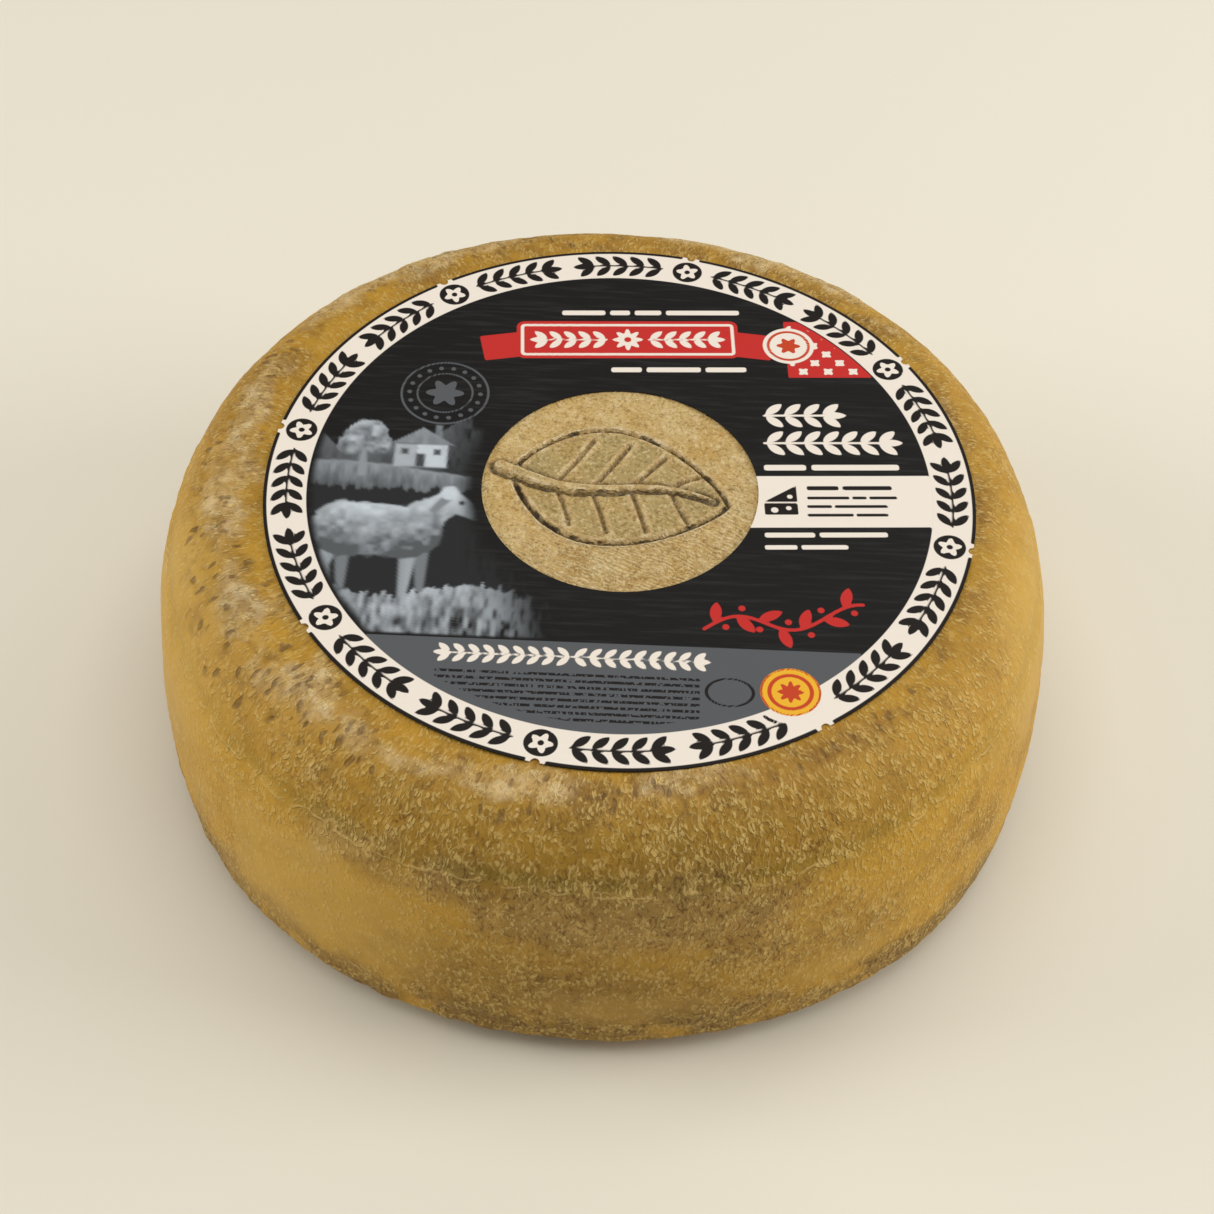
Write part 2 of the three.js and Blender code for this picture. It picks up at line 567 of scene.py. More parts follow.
@dataclass(frozen=True)
class Emblem:
    """A leaf pressed into the middle of the top face: an outline, a thick midrib and side veins."""

    length: float = 62 * MM
    width: float = 43 * MM
    turn: float = -10.0  # degrees
    vein_pairs: int = 4
    groove: float = 0.62 * MM  # half the width of a crevice
    lip: float = 1.25 * MM  # how far a lip stands from its crevice
    stalk: float = 2.1 * MM  # the midrib's radius at the stalk
    tip: float = 0.8 * MM  # and at the tip

    def _placed(self, along: np.ndarray, across: np.ndarray) -> np.ndarray:
        """Turns leaf coordinates, from -1 to 1 along and in metres across, into places on the face.

        Args:
            along: from the stalk's end, -1, to the tip, 1.
            across: metres to the left of the midrib's line.

        Returns:
            Two numbers for each point, in metres from the middle of the hole.
        """
        turn = math.radians(self.turn)
        x = along * self.length / 2
        return np.stack(
            [x * math.cos(turn) - across * math.sin(turn), x * math.sin(turn) + across * math.cos(turn)],
            axis=1,
        )

    def _edge(self, along: np.ndarray) -> np.ndarray:
        """Half the leaf's width: w/2 times (1 - t²) to the power 0.8, fuller towards the stalk."""
        return self.width / 2 * (1.0 - along**2) ** 0.8 * (1.0 - 0.22 * along)

    def _midrib(self, along: np.ndarray) -> np.ndarray:
        """The midrib's slow bend: a fifteenth of the leaf's width times sin(πt)."""
        return self.width / 15 * np.sin(math.pi * along)

    def edges(self) -> list[np.ndarray]:
        """The two edges of the leaf, as paths."""
        along = np.linspace(-1.0, 1.0, 40)
        return [self._placed(along, side * self._edge(along)) for side in (1.0, -1.0)]

    def veins(self) -> list[np.ndarray]:
        """The side veins, as paths that lean towards the tip.

        Returns:
            One path for each vein, the left and the right one of each pair in turn.
        """
        paths, reach = [], np.linspace(0.0, 1.0, 10)
        for start in np.linspace(-0.62, 0.42, self.vein_pairs):
            root = self._midrib(np.array([start]))[0]
            ahead = start + 0.26 * reach**0.8
            for side in (1.0, -1.0):
                tip = side * self._edge(ahead) * 0.8
                paths.append(self._placed(ahead, root + (tip - root) * reach))
        return paths

    def midrib(self) -> np.ndarray:
        """The midrib, from a short stalk past the outline to just short of the tip, as a path."""
        along = np.linspace(-1.12, 0.86, 30)
        return self._placed(along, self._midrib(along))

    def relief(self, places: np.ndarray) -> dict[str, np.ndarray]:
        """The height that the emblem adds at each place, where a painted highlight and a painted shade go,
        and where it is inside the leaf.

        A thin line is a crevice with a low lip on each side: lip · hump(d - lip) - depth · hump(d).
        The midrib is a rounded rope, thinner towards the tip, with a crevice along each side.

        Args:
            places: two numbers each, from the emblem's middle.

        Returns:
            height in metres; lip and cleft from 0 to 1, which mark where a painted highlight and a painted
            shade go;
            inside from 0 to 1; and two signed distances in metres that pass through 0, outline across the
            leaf's edge and rope across the midrib's.
        """
        edge = np.min([distance_to_path(places, path) for path in self.edges()], axis=0)
        thin = np.minimum(edge, np.min([distance_to_path(places, path) for path in self.veins()], axis=0))
        thick = distance_to_path(places, self.midrib())
        turn = math.radians(self.turn)
        along = (places @ np.array([math.cos(turn), math.sin(turn)])) / (self.length / 2)
        across = places @ np.array([-math.sin(turn), math.cos(turn)])
        inward = self._edge(np.clip(along, -1.0, 1.0)) - np.abs(across)
        inside = ease(inward, -MM, MM)
        rope = self.stalk + (self.tip - self.stalk) * np.clip((along + 1.0) / 2.0, 0.0, 1.0)
        clear = 1.0 - ease(thick, rope * 1.6, rope * 1.1)
        lips = np.maximum(hump(thin - self.lip, 0.6 * MM) * clear, hump(thick - rope * 0.45, 0.7 * MM))
        clefts = np.maximum(hump(thin, self.groove) * clear, hump(thick - rope * 1.3, 0.65 * MM))
        swell = 0.7 * rope * np.sqrt(np.clip(1.0 - (thick / rope) ** 2, 0.0, 1.0))
        height = 0.5 * MM * hump(thin - self.lip, 0.7 * MM) * clear + swell - 1.1 * MM * clefts
        side = np.where(inward > 0.0, -1.0, 1.0)
        return {
            "height": height + 0.2 * MM * inside,
            "lip": np.clip(lips, 0.0, 1.0),
            "cleft": clefts,
            "inside": inside,
            "outline": side * edge * (1.0 + 20.0 * (1.0 - clear)),
            "rope": thick - 1.15 * rope,
        }


@dataclass
class WheelSkin:
    """The whole outside of the cheese wheel as one closed surface."""

    name: str = "rind"
    node: str = "cheese_wheel"
    slot: str = "rind"
    radius: float = 130 * MM
    top_flat: float = 104.5 * MM
    shoulder_drop: float = 37 * MM
    belly: float = 1.4 * MM
    edge_run: float = 19 * MM
    edge_rise: float = 10 * MM
    crease_height: float = 75 * MM
    crease_depth: float = 0.6 * MM
    crease_width: float = 2.6 * MM
    plan_waves: tuple[tuple[int, float, float], ...] = (
        (2, 0.36 * MM, 145.0),
        (3, 0.53 * MM, 82.0),
        (4, 1.08 * MM, 45.0),
    )  # lobes, size, and the azimuth of a high point
    disc_cells: int = 140  # cells along one side of the fine disc in the middle of the top
    disc_radius: float = 41 * MM
    coarse_radius: float = 96 * MM  # under the label the rings are wide apart, out to here
    zones: Zones = field(default_factory=Zones)
    tones: RindTones = field(default_factory=RindTones)
    emblem: Emblem = field(default_factory=Emblem)

    def __post_init__(self) -> None:
        """Takes the height from the frame and the label's place from its node."""
        self.low, self.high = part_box(self.node)
        label_low, label_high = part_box("paper_label")
        self.height = self.high.z
        self.label_middle = np.array(((label_low + label_high) / 2).xy)
        self.label_radius = (label_high.x - label_low.x) / 2
        self.side_radius = self.radius - self.belly
        self.side_top = self.height - self.shoulder_drop

    def _section(self) -> tuple[np.ndarray, np.ndarray, np.ndarray]:
        """Half the wheel's section outside the fine disc, from the top's middle to the base's.

        The stretches are: the flat top; a quarter ellipse for the shoulder; the side, which bellies
        out by b(1 - u²); a quarter ellipse for the bottom edge; and the flat base.

        Returns:
            Radius, height and the distance down the skin from the edge of the flat top, in metres.
        """
        hidden = np.linspace(self.disc_radius, self.coarse_radius, 7, endpoint=False)[1:]
        rim = np.arange(self.coarse_radius, self.top_flat, 1.2 * MM)
        turn = np.linspace(math.pi / 2, 0.0, 42)
        shoulder_run = self.side_radius - self.top_flat
        shoulder = self.top_flat + shoulder_run * np.cos(turn)
        shoulder_height = self.side_top + self.shoulder_drop * np.sin(turn)
        shoulder -= self.crease_depth * hump(shoulder_height - self.crease_height, self.crease_width)
        along = np.linspace(0.0, 1.0, 37)[1:-1]
        side = self.side_radius + self.belly * (1.0 - (2.0 * along - 1.0) ** 2)
        side_height = self.side_top + (self.edge_rise - self.side_top) * along
        turn = np.linspace(0.0, math.pi / 2, 19)
        edge = self.side_radius - self.edge_run * (1.0 - np.cos(turn))
        edge_height = self.edge_rise * (1.0 - np.sin(turn))
        base = np.array([100, 90, 78, 64, 49, 34, 20, 9]) * MM
        radius = np.concatenate([hidden, rim, shoulder, side, edge, base])
        top_heights = np.full(len(hidden) + len(rim), self.height)
        height = np.concatenate([top_heights, shoulder_height, side_height, edge_height, np.zeros(len(base))])
        steps = np.hypot(np.diff(radius), np.diff(height))
        arc = np.concatenate([[0.0], np.cumsum(steps)])
        return radius, height, arc - arc[len(top_heights)]

    def _plan(self, angle: np.ndarray) -> np.ndarray:
        """How much larger than a true circle the plan is: 1 plus a cosine for each slow wave.

        Args:
            angle: directions from the wheel's axis.

        Returns:
            A factor for each direction.
        """
        waves = [
            size / self.radius * np.cos(lobes * (angle - math.radians(toward)))
            for lobes, size, toward in self.plan_waves
        ]
        return 1.0 + np.sum(waves, axis=0)

    def _axis(self) -> np.ndarray:
        """Where the wheel's own axis stands, so that the middle of the plan's box is the frame's.

        Returns:
            Its x and y, in metres.
        """
        angle = np.linspace(0.0, FULL_TURN, 721)
        rim = self._plan(angle) * self.radius
        outline = np.stack([rim * np.cos(angle), rim * np.sin(angle)], axis=1)
        middle = np.array(((self.low + self.high) / 2).xy)
        return middle - (outline.min(axis=0) + outline.max(axis=0)) / 2

    def _disc(self, height: float) -> tuple[np.ndarray, np.ndarray, np.ndarray]:
        """A disc of nearly square cells about the label's middle.

        A square grid is squeezed to a disc ring by ring: the ring at half-width t becomes the
        circle of radius t, and its points keep their even spacing round it.

        Args:
            height: how high it lies.

        Returns:
            Its points, its faces, and its rim's vertex numbers, counter-clockwise from -45 degrees.
        """
        count = self.disc_cells
        u, v = np.meshgrid(np.linspace(-1, 1, count + 1), np.linspace(-1, 1, count + 1), indexing="xy")
        ring = np.maximum(np.abs(u), np.abs(v))
        safe = np.where(ring == 0, 1.0, ring)
        sideways = np.abs(u) >= np.abs(v)
        angle = np.where(
            sideways,
            math.pi / 4 * v / safe * np.sign(u) + np.where(u < 0, math.pi, 0.0),
            math.pi / 2 * np.sign(v) - math.pi / 4 * u / safe * np.sign(v),
        )
        reach = ring * self.disc_radius
        points = np.stack(
            [
                self.label_middle[0] + reach * np.cos(angle),
                self.label_middle[1] + reach * np.sin(angle),
                np.full_like(reach, height),
            ],
            axis=-1,
        ).reshape(-1, 3)
        number = np.arange((count + 1) ** 2).reshape(count + 1, count + 1)  # [row v, column u]
        faces = np.stack([number[:-1, :-1], number[:-1, 1:], number[1:, 1:], number[1:, :-1]], axis=-1)
        rim = np.concatenate([number[:-1, -1], number[-1, :0:-1], number[:0:-1, 0], number[0, :-1]])
        return points, faces.reshape(-1, 4), rim

    def _surface(self) -> dict[str, np.ndarray]:
        """Lays out the smooth surface: the disc, then rings that shift from the label's middle to the axis.

        Returns:
            points, outward normals, arc, azimuth in degrees, quads and triangles.
        """
        radius, height, arc = self._section()
        disc, disc_faces, rim = self._disc(self.height)
        around = len(rim)
        angle = -math.pi / 4 + FULL_TURN * np.arange(around) / around
        share = ease(radius, self.disc_radius, self.top_flat)
        share = np.where(arc > 0, 1.0, share)[:, None]
        scale = 1.0 + (self._plan(angle) - 1.0) * share
        axis = self._axis()
        centre = self.label_middle + (axis - self.label_middle) * share
        x = centre[:, :1] + radius[:, None] * scale * np.cos(angle)
        y = centre[:, 1:] + radius[:, None] * scale * np.sin(angle)
        rings = np.stack([x, y, np.broadcast_to(height[:, None], x.shape)], axis=-1)
        slope = np.stack([np.gradient(radius), np.gradient(height)], axis=1)
        slope /= np.linalg.norm(slope, axis=1, keepdims=True)
        flat = height >= self.height - 1e-9
        outward = np.where(flat, 0.0, -slope[:, 1])[:, None]
        upward = np.where(flat, 1.0, slope[:, 0])[:, None]
        upward = np.where(height[:, None] <= 1e-9, -1.0, upward)
        outward = np.where(height[:, None] <= 1e-9, 0.0, outward)
        normals = np.stack([outward * np.cos(angle), outward * np.sin(angle), upward + 0 * x], axis=-1)
        pole = np.array([[axis[0], axis[1], 0.0]])
        points = np.concatenate([disc, rings.reshape(-1, 3), pole])
        down, up = np.array([[0.0, 0.0, -1.0]]), np.array([[0.0, 0.0, 1.0]])
        normals = np.concatenate([np.repeat(up, len(disc), axis=0), normals.reshape(-1, 3), down])
        disc_arc = np.full(len(disc), arc[0] - 10 * MM)
        arcs = np.concatenate([disc_arc, np.repeat(arc, around), [arc[-1] + radius[-1]]])
        number = len(disc) + np.arange(len(radius) * around).reshape(-1, around)
        loops = np.concatenate([rim[None], number])
        strips = [joined_rings(lower, upper) for upper, lower in zip(loops[:-1], loops[1:])]
        last = number[-1]
        fan = np.stack([np.roll(last, -1), last, np.full(around, len(points) - 1)], axis=1)
        away = points[:, :2] - axis
        return {
            "points": points,
            "normals": normals,
            "arc": arcs,
            "azimuth": np.degrees(np.arctan2(away[:, 1], away[:, 0])),
            "quads": np.concatenate([disc_faces, *strips]),
            "triangles": fan,
        }

    def _skin_coordinates(self, surface: dict[str, np.ndarray]) -> np.ndarray:
        """Coordinates that unroll the side, so that a pattern can be stretched down the slope.

        On the top they are the plain place. Past the label they are a cylinder of the top's radius,
        whose height is the distance down the skin; the change from one to the other is under the label.

        Args:
            surface: what _surface gives.

        Returns:
            Three numbers for each vertex, in metres.
        """
        points, arc = surface["points"], surface["arc"]
        away = np.linalg.norm(points[:, :2], axis=1)
        share = ease(away, 50 * MM, 92 * MM)
        radius = away * (1.0 - share) + 118 * MM * share
        factor = radius / np.maximum(away, 1e-6)
        down = -np.maximum(arc + 8 * MM, 0.0)
        return np.stack([points[:, 0] * factor, points[:, 1] * factor, down], axis=1)

    def _marks(self, surface: dict[str, np.ndarray]) -> dict[str, np.ndarray]:
        """Works out the skin's relief, colours and how much of each finish lies where.

        Args:
            surface: what _surface gives.

        Returns:
            relief in metres along the normal; tone as a colour; ledge, in metres up from the crease's
            lower edge; outline and rope, the emblem's signed distances in metres; and bloom, honey, cream,
            pits and weave from 0 to 1.
        """
        points, azimuth, arc = surface["points"], surface["azimuth"], surface["arc"]
        height = points[:, 2]
        broad = Lattice(3).fractal(points, 42 * MM)
        lumps = Lattice(5).fractal(points, 9 * MM)
        grit = Lattice(7).fractal(points, 3.2 * MM, 2)
        sway = Lattice(11).fractal(points, 17 * MM)
        drift = Lattice(13).fractal(points, 12 * MM, 4)
        turned, moved = azimuth + 8.0 * sway, arc + 5 * MM * drift
        zones = self.zones
        pale = covered(zones.pale_crust, turned, moved)
        pale = ease(pale + 0.4 * drift + 0.3 * lumps, 0.25, 0.8)
        grey = ease(covered(zones.grey_bloom, turned, moved) + 0.5 * drift, 0.05, 1.15)
        honey = ease(covered(zones.honey, turned, moved) + 0.3 * sway + 0.15 * drift, 0.1, 0.95)
        dull = covered(zones.dull, turned, moved)
        crust = ease(moved, 76 * MM, 87 * MM) * (1.0 - 0.7 * honey)
        crust *= ease(0.5 + drift + 0.3 * grit, -0.1, 0.6)
        ledge = height - self.crease_height + 2.2 * MM - 1.2 * MM * sway
        ledge = np.where(arc > 0, ledge, 1.0)
        crease = hump(ledge - 2.6 * MM, 2.6 * MM) * (0.25 + 0.75 * covered(zones.olive_band, turned, arc))
        under_label = hump(arc - 1 * MM, 5 * MM) * ease(drift + 0.4 * lumps, -0.45, 0.35)

        away = points[:, :2] - self.label_middle
        reach = np.linalg.norm(away, axis=1)
        top = arc < 4 * MM
        hidden = top * ease(reach, 37 * MM, 40 * MM) * (1.0 - ease(reach, 99 * MM, self.label_radius + MM))
        hole = top * (reach < self.disc_radius)
        inside = np.flatnonzero(hole)
        mark = {}
        for name, values in self.emblem.relief(away[inside]).items():
            mark[name] = np.full(len(points), 1.0 if name in ("outline", "rope") else 0.0)
            mark[name][inside] = values

        nearest, token = Lattice(17).spots(points, 6.5 * MM)
        pit_size = (1.6 + 1.6 * token) * MM
        open_pits = ease(covered(zones.pitted, turned, moved), 0.15, 0.7)
        pits = (1.0 - ease(nearest, 0.0, pit_size)) * (token < 0.8) * open_pits
        cracks = hump(Lattice(19).fractal(points * (1.0, 1.0, 1.6), 8 * MM, 2), 0.1) * open_pits

        rough = 1.0 - 0.7 * honey
        relief = 0.45 * MM * broad + 0.28 * MM * lumps * rough + 0.2 * MM * grit * rough
        relief += 0.25 * MM * crust * (grit + 0.4 * lumps) + 0.3 * MM * pale * (0.5 + grit + 0.5 * lumps)
        relief -= 0.6 * MM * pits + 0.35 * MM * cracks
        relief += 0.45 * MM * hump(ledge, 1.4 * MM) * (0.7 + lumps)
        pressed = 0.2 * MM * lumps + 0.12 * MM * grit + mark["height"]
        relief = np.where(hole, pressed, relief) * (1.0 - 0.93 * hidden)

        tones = self.tones
        tone = np.repeat(np.array([tones.ochre]), len(points), axis=0)
        layers = (
            (tones.deep_ochre, ease(broad + 0.5 * sway + 0.4 * drift, -0.1, 0.8) * 0.7),
            (tones.deep_ochre, (1.0 - ease(moved, 18 * MM, 30 * MM)) * 0.5),
            (tones.dull, dull * (0.8 + 0.3 * drift)),
            (tones.honey, honey * (0.75 - 0.45 * dull)),
            (tones.olive, crease * np.clip(0.75 + 0.5 * sway, 0.0, 0.9)),
            (tones.brown, under_label * 0.75),
            (tones.grey, grey * 0.6),
            (tones.crust, crust * 0.85),
            (tones.beige_and_lip_highlight, pale * (0.55 + 0.4 * grit + 0.4 * lumps)),
            (tones.pressed, hole * (0.7 + 0.4 * lumps + 0.35 * drift)),
            (tones.khaki, mark["inside"] * (0.75 + 0.4 * lumps)),
            # painted highlight on the emblem's lips and painted shade in its clefts; the pits and cracks are
            # the skin's own dark colour
            (tones.beige_and_lip_highlight, mark["lip"] * 0.8),
            (tones.pit_and_cleft_shade, 0.45 * pits + 0.3 * cracks + mark["cleft"] * (0.8 + 0.5 * lumps)),
        )
        for colour, share in layers:
            tone += (np.array(colour) - tone) * np.clip(share, 0.0, 1.0)[:, None]
        woven = ease(away @ np.array([0.35, -0.94]), 0.0, 30 * MM) * 0.6 + 0.12
        weave = np.where(hole, woven * (1.0 - 0.35 * mark["inside"]), 0.0)
        bloom = 0.6 + 0.4 * grey + 0.6 * crust + 0.35 * dull + 0.2 * pale + 0.4 * drift
        return {
            "relief": relief,
            "tone": tone,
            "bloom": np.clip(bloom, 0.0, 1.0) * (1.0 - 0.45 * hole),
            "honey": np.clip(honey, 0.0, 1.0),
            # the emblem's lips add a painted highlight to the cream
            "cream": np.clip(0.75 * pale + 0.5 * hole * (1.0 - 0.5 * mark["inside"]) + mark["lip"], 0.0, 1.0),
            "pits": np.clip(open_pits + 0.3 * hole + 0.4 * crust, 0.0, 1.0),
            "weave": np.clip(weave, 0.0, 1.0),
            "ledge": ledge,
            "outline": mark["outline"],
            "rope": mark["rope"],
        }

    def build(self) -> bpy.types.Object:
        """Makes the skin's mesh, moved out or in by its relief and never below the base.

        Returns:
            The object, with its attributes.
        """
        surface = self._surface()
        marks = self._marks(surface)
        points = surface["points"] + surface["normals"] * marks.pop("relief")[:, None]
        points[:, 2] = np.maximum(points[:, 2], 0.0)
        piece = make_piece(self.name, points, surface["quads"], surface["triangles"])
        write_attribute(piece, "skin", self._skin_coordinates(surface))
        for name, values in marks.items():
            write_attribute(piece, name, values)
        return piece

    def dress(self, piece: bpy.types.Object) -> None:
        """Gives the piece that build made its finish and its place in the frame."""
        settle(piece, self.node, RindFinish().material())


@dataclass(frozen=True)
class RindFinish:
    """The skin close up: curled fibres left by the cloth, paler on their ridges and darker between them,
    partly their own colour and partly painted highlight and painted shade, with pinholes and weave.
    """

    fibre: Colour = srgb(220, 185, 106)
    # partly the crust's own cream, partly painted highlight on the clumps, the weave's stitches, the hole's
    # speckle and the emblem's lips
    cream: Colour = srgb(234, 212, 166)
    shadow: Colour = srgb(168, 142, 92)  # painted shade, partly the bare skin's own darker colour: what the tone is multiplied by between the fibres, between the weave's rows and in the hole's dark speckle
    bare_spot: Colour = srgb(126, 94, 26)
    speck: Colour = srgb(228, 198, 130)
    pinhole: Colour = srgb(96, 66, 28)
    # painted shade in the emblem's cuts
    crevice: Colour = srgb(40, 29, 16)
    stretch: float = 0.45  # how far the fibres' pattern is squeezed down the slope
    weave_pitch: float = 1.15 * MM
    relief: float = 0.55 * MM
    fibre_grain: float = 0.45 * MM
    curl_grain: float = 1.1 * MM
    fleck_spacing: float = 1.35 * MM
    clump_grain: float = 2.2 * MM
    mottle_grain: float = 6 * MM
    speck_spacing: float = 6.5 * MM
    pinhole_spacing: float = 3.4 * MM

    def _weave(self, board: Board, place: Wire) -> Wire:
        """The press cloth's mark: swaying rows, 0.5 + 0.5 · sin(2πy/p), broken into stitches by noise.

        Args:
            board: the material under way.
            place: the object's coordinates.

        Returns:
            From 0 between the rows to 1 on a stitch.
        """
        bent = board.bent(board.bent(place, 6 * MM, 2.4 * MM), 1.2 * MM, 0.6 * MM)
        turn = {"Vector": bent, "Rotation": (0.0, 0.0, math.radians(24))}
        turned = board.node("ShaderNodeMapping", {}, turn)
        across = board.part(turned, "Y") * (FULL_TURN / self.weave_pitch)
        rows = board.node("ShaderNodeMath", {"operation": "SINE"}, {0: across}) * 0.5 + 0.5
        stitches = board.noise(board.stretched(turned, (0.7, 1.0, 1.0)), 0.55 * MM, 1.0)
        return rows * (board.step(stitches, 0.40, 0.58) * 0.9 + 0.1)

    def _curls(self, board: Board, strands: Wire, grain: float, width: float) -> Wire:
        """Thin curled threads: 1 where a noise crosses its middle value, 0 away from there."""
        from_middle = board.magnitude(board.noise(strands, grain, 1.0) - 0.5)
        return board.step(from_middle, width, width * 0.3)

    def _flecks(self, board: Board, skin: Wire) -> Wire:
        """Short bent flecks that lie down the slope: the middles of stretched, swaying cells."""
        swaying = board.stretched(board.bent(skin, 1.5 * MM, 1.2 * MM), (1.0, 1.0, self.stretch))
        return board.step(board.spots(swaying, self.fleck_spacing), 0.44, 0.26)

    def _line(self, board: Board, distance: Wire, half_width: float) -> Wire:
        """A soft-edged line where a distance passes through 0."""
        return board.step(board.magnitude(distance), half_width * 1.3, half_width * 0.5)

    def _ledge(self, board: Board, skin: Wire) -> Wire:
        """The pale thread along the crease's lower edge, wavy and broken."""
        wavering = board.attribute("ledge") + board.noise(skin, 3.5 * MM, 3.0) * (5 * MM) - 2.5 * MM
        return self._line(board, wavering, 0.42 * MM) * board.step(board.noise(skin, 4 * MM, 2.0), 0.44, 0.56)

    def _crevices(self, board: Board, place: Wire) -> tuple[Wire, Wire]:
        """The emblem's cuts, with painted shade in thin lines that open into dark gaps here and there, and a
        painted highlight on their lips.

        Args:
            board: the material under way.
            place: the object's coordinates.

        Returns:
            How much of a cut and how much of a lip there is, 0 to 1.
        """
        gape = board.step(board.noise(place, 2.6 * MM, 2.0), 0.46, 0.62)
        waver = board.noise(place, 1.2 * MM, 2.0) * (1.4 * MM) - 0.7 * MM
        outline, rope = board.attribute("outline") + waver, board.attribute("rope") + waver
        thin = self._line(board, outline, 0.28 * MM) * 0.55 + self._line(board, rope, 0.28 * MM) * 0.5
        wide = (self._line(board, outline, 0.75 * MM) + self._line(board, rope, 0.6 * MM) * 0.7) * gape
        lip = self._line(board, outline - 1.15 * MM, 0.45 * MM) + self._line(board, rope + 1.1 * MM, 0.5 * MM)
        cut = board.node("ShaderNodeMath", {"operation": "MAXIMUM", "use_clamp": True}, {0: thin, 1: wide})
        return cut, lip * board.step(board.noise(place, 1.7 * MM, 2.0), 0.42, 0.56)

    def material(self) -> bpy.types.Material:
        """Builds the finish.

        Returns:
            The material.
        """
        board = Board("rind_finish")
        skin = board.attribute("skin", "Vector")
        place = board.node("ShaderNodeTexCoord", {}, {}, "Object")
        bloom, honey, cream = board.attribute("bloom"), board.attribute("honey"), board.attribute("cream")
        pits, weave_share = board.attribute("pits"), board.attribute("weave")
        tone = board.attribute("tone", "Color")

        strands = board.stretched(board.bent(skin, 2.2 * MM, 1.5 * MM), (1.0, 1.0, self.stretch))
        fibre = board.noise(strands, self.fibre_grain, 2.0, 0.6)
        clumps = board.noise(skin, self.clump_grain, 3.0, 0.62)
        mottle = board.noise(skin, self.mottle_grain, 3.0, 0.6)
        cover = bloom * (1.0 - honey * 0.7)
        tufted = board.step(clumps + mottle * 0.5, 0.60, 0.86)
        # pale: the fibres' ridges, where a highlight is painted; dark: the low parts between fibres and
        # clumps, where shade is painted
        pale = board.step(fibre, 0.50, 0.64) * tufted * cover
        dark = board.step(fibre, 0.52, 0.36) * board.step(clumps, 0.64, 0.42) * cover * cover
        curls = self._curls(board, strands, self.curl_grain, 0.055) * board.step(clumps, 0.40, 0.54) * cover
        flocked = board.step(clumps + mottle * 0.4, 0.52, 0.70) * (cover * 0.8 + 0.15)
        flecks = self._flecks(board, skin) * flocked
        ledge = self._ledge(board, skin)
        weave = self._weave(board, place)
        cut, lip = self._crevices(board, place)

        bare = board.step(mottle, 0.56, 0.36) * bloom * (1.0 - honey * 0.5) * 0.35
        colour = board.mix(bare, tone, self.bare_spot)
        # painted shade between the fibres and clumps, partly the bare skin's own darker colour, then a
        # painted highlight on the fibres' ridges, partly their own pale colour
        colour = board.mix(dark * 0.8, colour, self.shadow, "MULTIPLY")
        colour = board.mix(pale * 0.24, colour, self.fibre)
        colour = board.mix(curls * 0.5, colour, self.fibre)
        colour = board.mix(flecks * 0.72, colour, self.fibre)
        colour = board.mix(ledge * 0.42, colour, self.fibre)
        # cream on the tops of the clumps: partly the crust's own cream, partly a painted highlight
        colour = board.mix(board.step(clumps, 0.46, 0.66) * cream * 0.5, colour, self.cream)
        # painted shade between the weave's rows and a painted highlight on its stitches
        weave_row_shade = board.step(weave, 0.30, 0.05) * weave_share * 0.45
        colour = board.mix(weave_row_shade, colour, self.shadow, "MULTIPLY")
        colour = board.mix(board.step(weave, 0.35, 0.9) * weave_share * 0.5, colour, self.cream)
        speckle = board.noise(board.bent(place, 1.2 * MM, 0.8 * MM), 0.55 * MM, 2.0, 0.6)
        in_hole = board.step(board.attribute("rope"), 0.5, 0.2)
        # painted shade in the low parts and a painted highlight on the high parts of the hole's fine speckled
        # relief
        colour = board.mix(board.step(speckle, 0.46, 0.34) * in_hole * 0.5, colour, self.shadow, "MULTIPLY")
        colour = board.mix(board.step(speckle, 0.56, 0.68) * in_hole * 0.45, colour, self.cream)
        dots = board.spots(skin, self.speck_spacing)
        colour = board.mix(board.step(dots, 0.09, 0.04) * 0.5, colour, self.speck)
        pocks = board.spots(board.bent(strands, 1.5 * MM, 1.2 * MM), self.pinhole_spacing)
        holes = board.step(pocks, 0.33, 0.15) * pits * board.step(mottle, 0.34, 0.50)
        colour = board.mix(holes * 0.6, colour, self.pinhole)
        # painted highlight on the emblem's lips and painted shade in its cuts
        colour = board.mix(lip * 0.6, colour, self.cream)
        colour = board.mix(cut * 0.92, colour, self.crevice)

        rough = fibre * cover * 0.6 + curls * 0.4 + flecks * 0.7 + clumps * (1.1 - honey * 0.7) + ledge * 0.6
        woven = weave * weave_share * 0.6 + speckle * in_hole * 0.8 - holes * 0.8
        woven = woven + board.step(dots, 0.12, 0.02) * 0.4
        height = rough + woven + lip * 0.6 - cut * 1.2
        return board.finish(
            {
                "Base Color": colour,
                "Roughness": 0.62 - honey * 0.16 + pale * 0.1,
                "Specular IOR Level": 0.35,
                "Normal": board.bump(height, self.relief),
            }
        )


def to_local(places: np.ndarray, middle: Spot, turn: float) -> np.ndarray:
    """Places as seen from a shape's own middle and direction.

    Args:
        places: two numbers each, in metres.
        middle: the shape's middle.
        turn: how far it is turned, in degrees.

    Returns:
        Two numbers each, along the shape and across it.
    """
    angle = math.radians(turn)
    away = places - np.array(middle)
    along = away[:, 0] * math.cos(angle) + away[:, 1] * math.sin(angle)
    across = away[:, 1] * math.cos(angle) - away[:, 0] * math.sin(angle)
    return np.stack([along, across], axis=1)


def disc(places: np.ndarray, middle: Spot, radius: float) -> np.ndarray:
    """Signed distance to a disc, less than 0 inside: the distance to its middle less its radius."""
    return np.linalg.norm(places - np.array(middle), axis=1) - radius


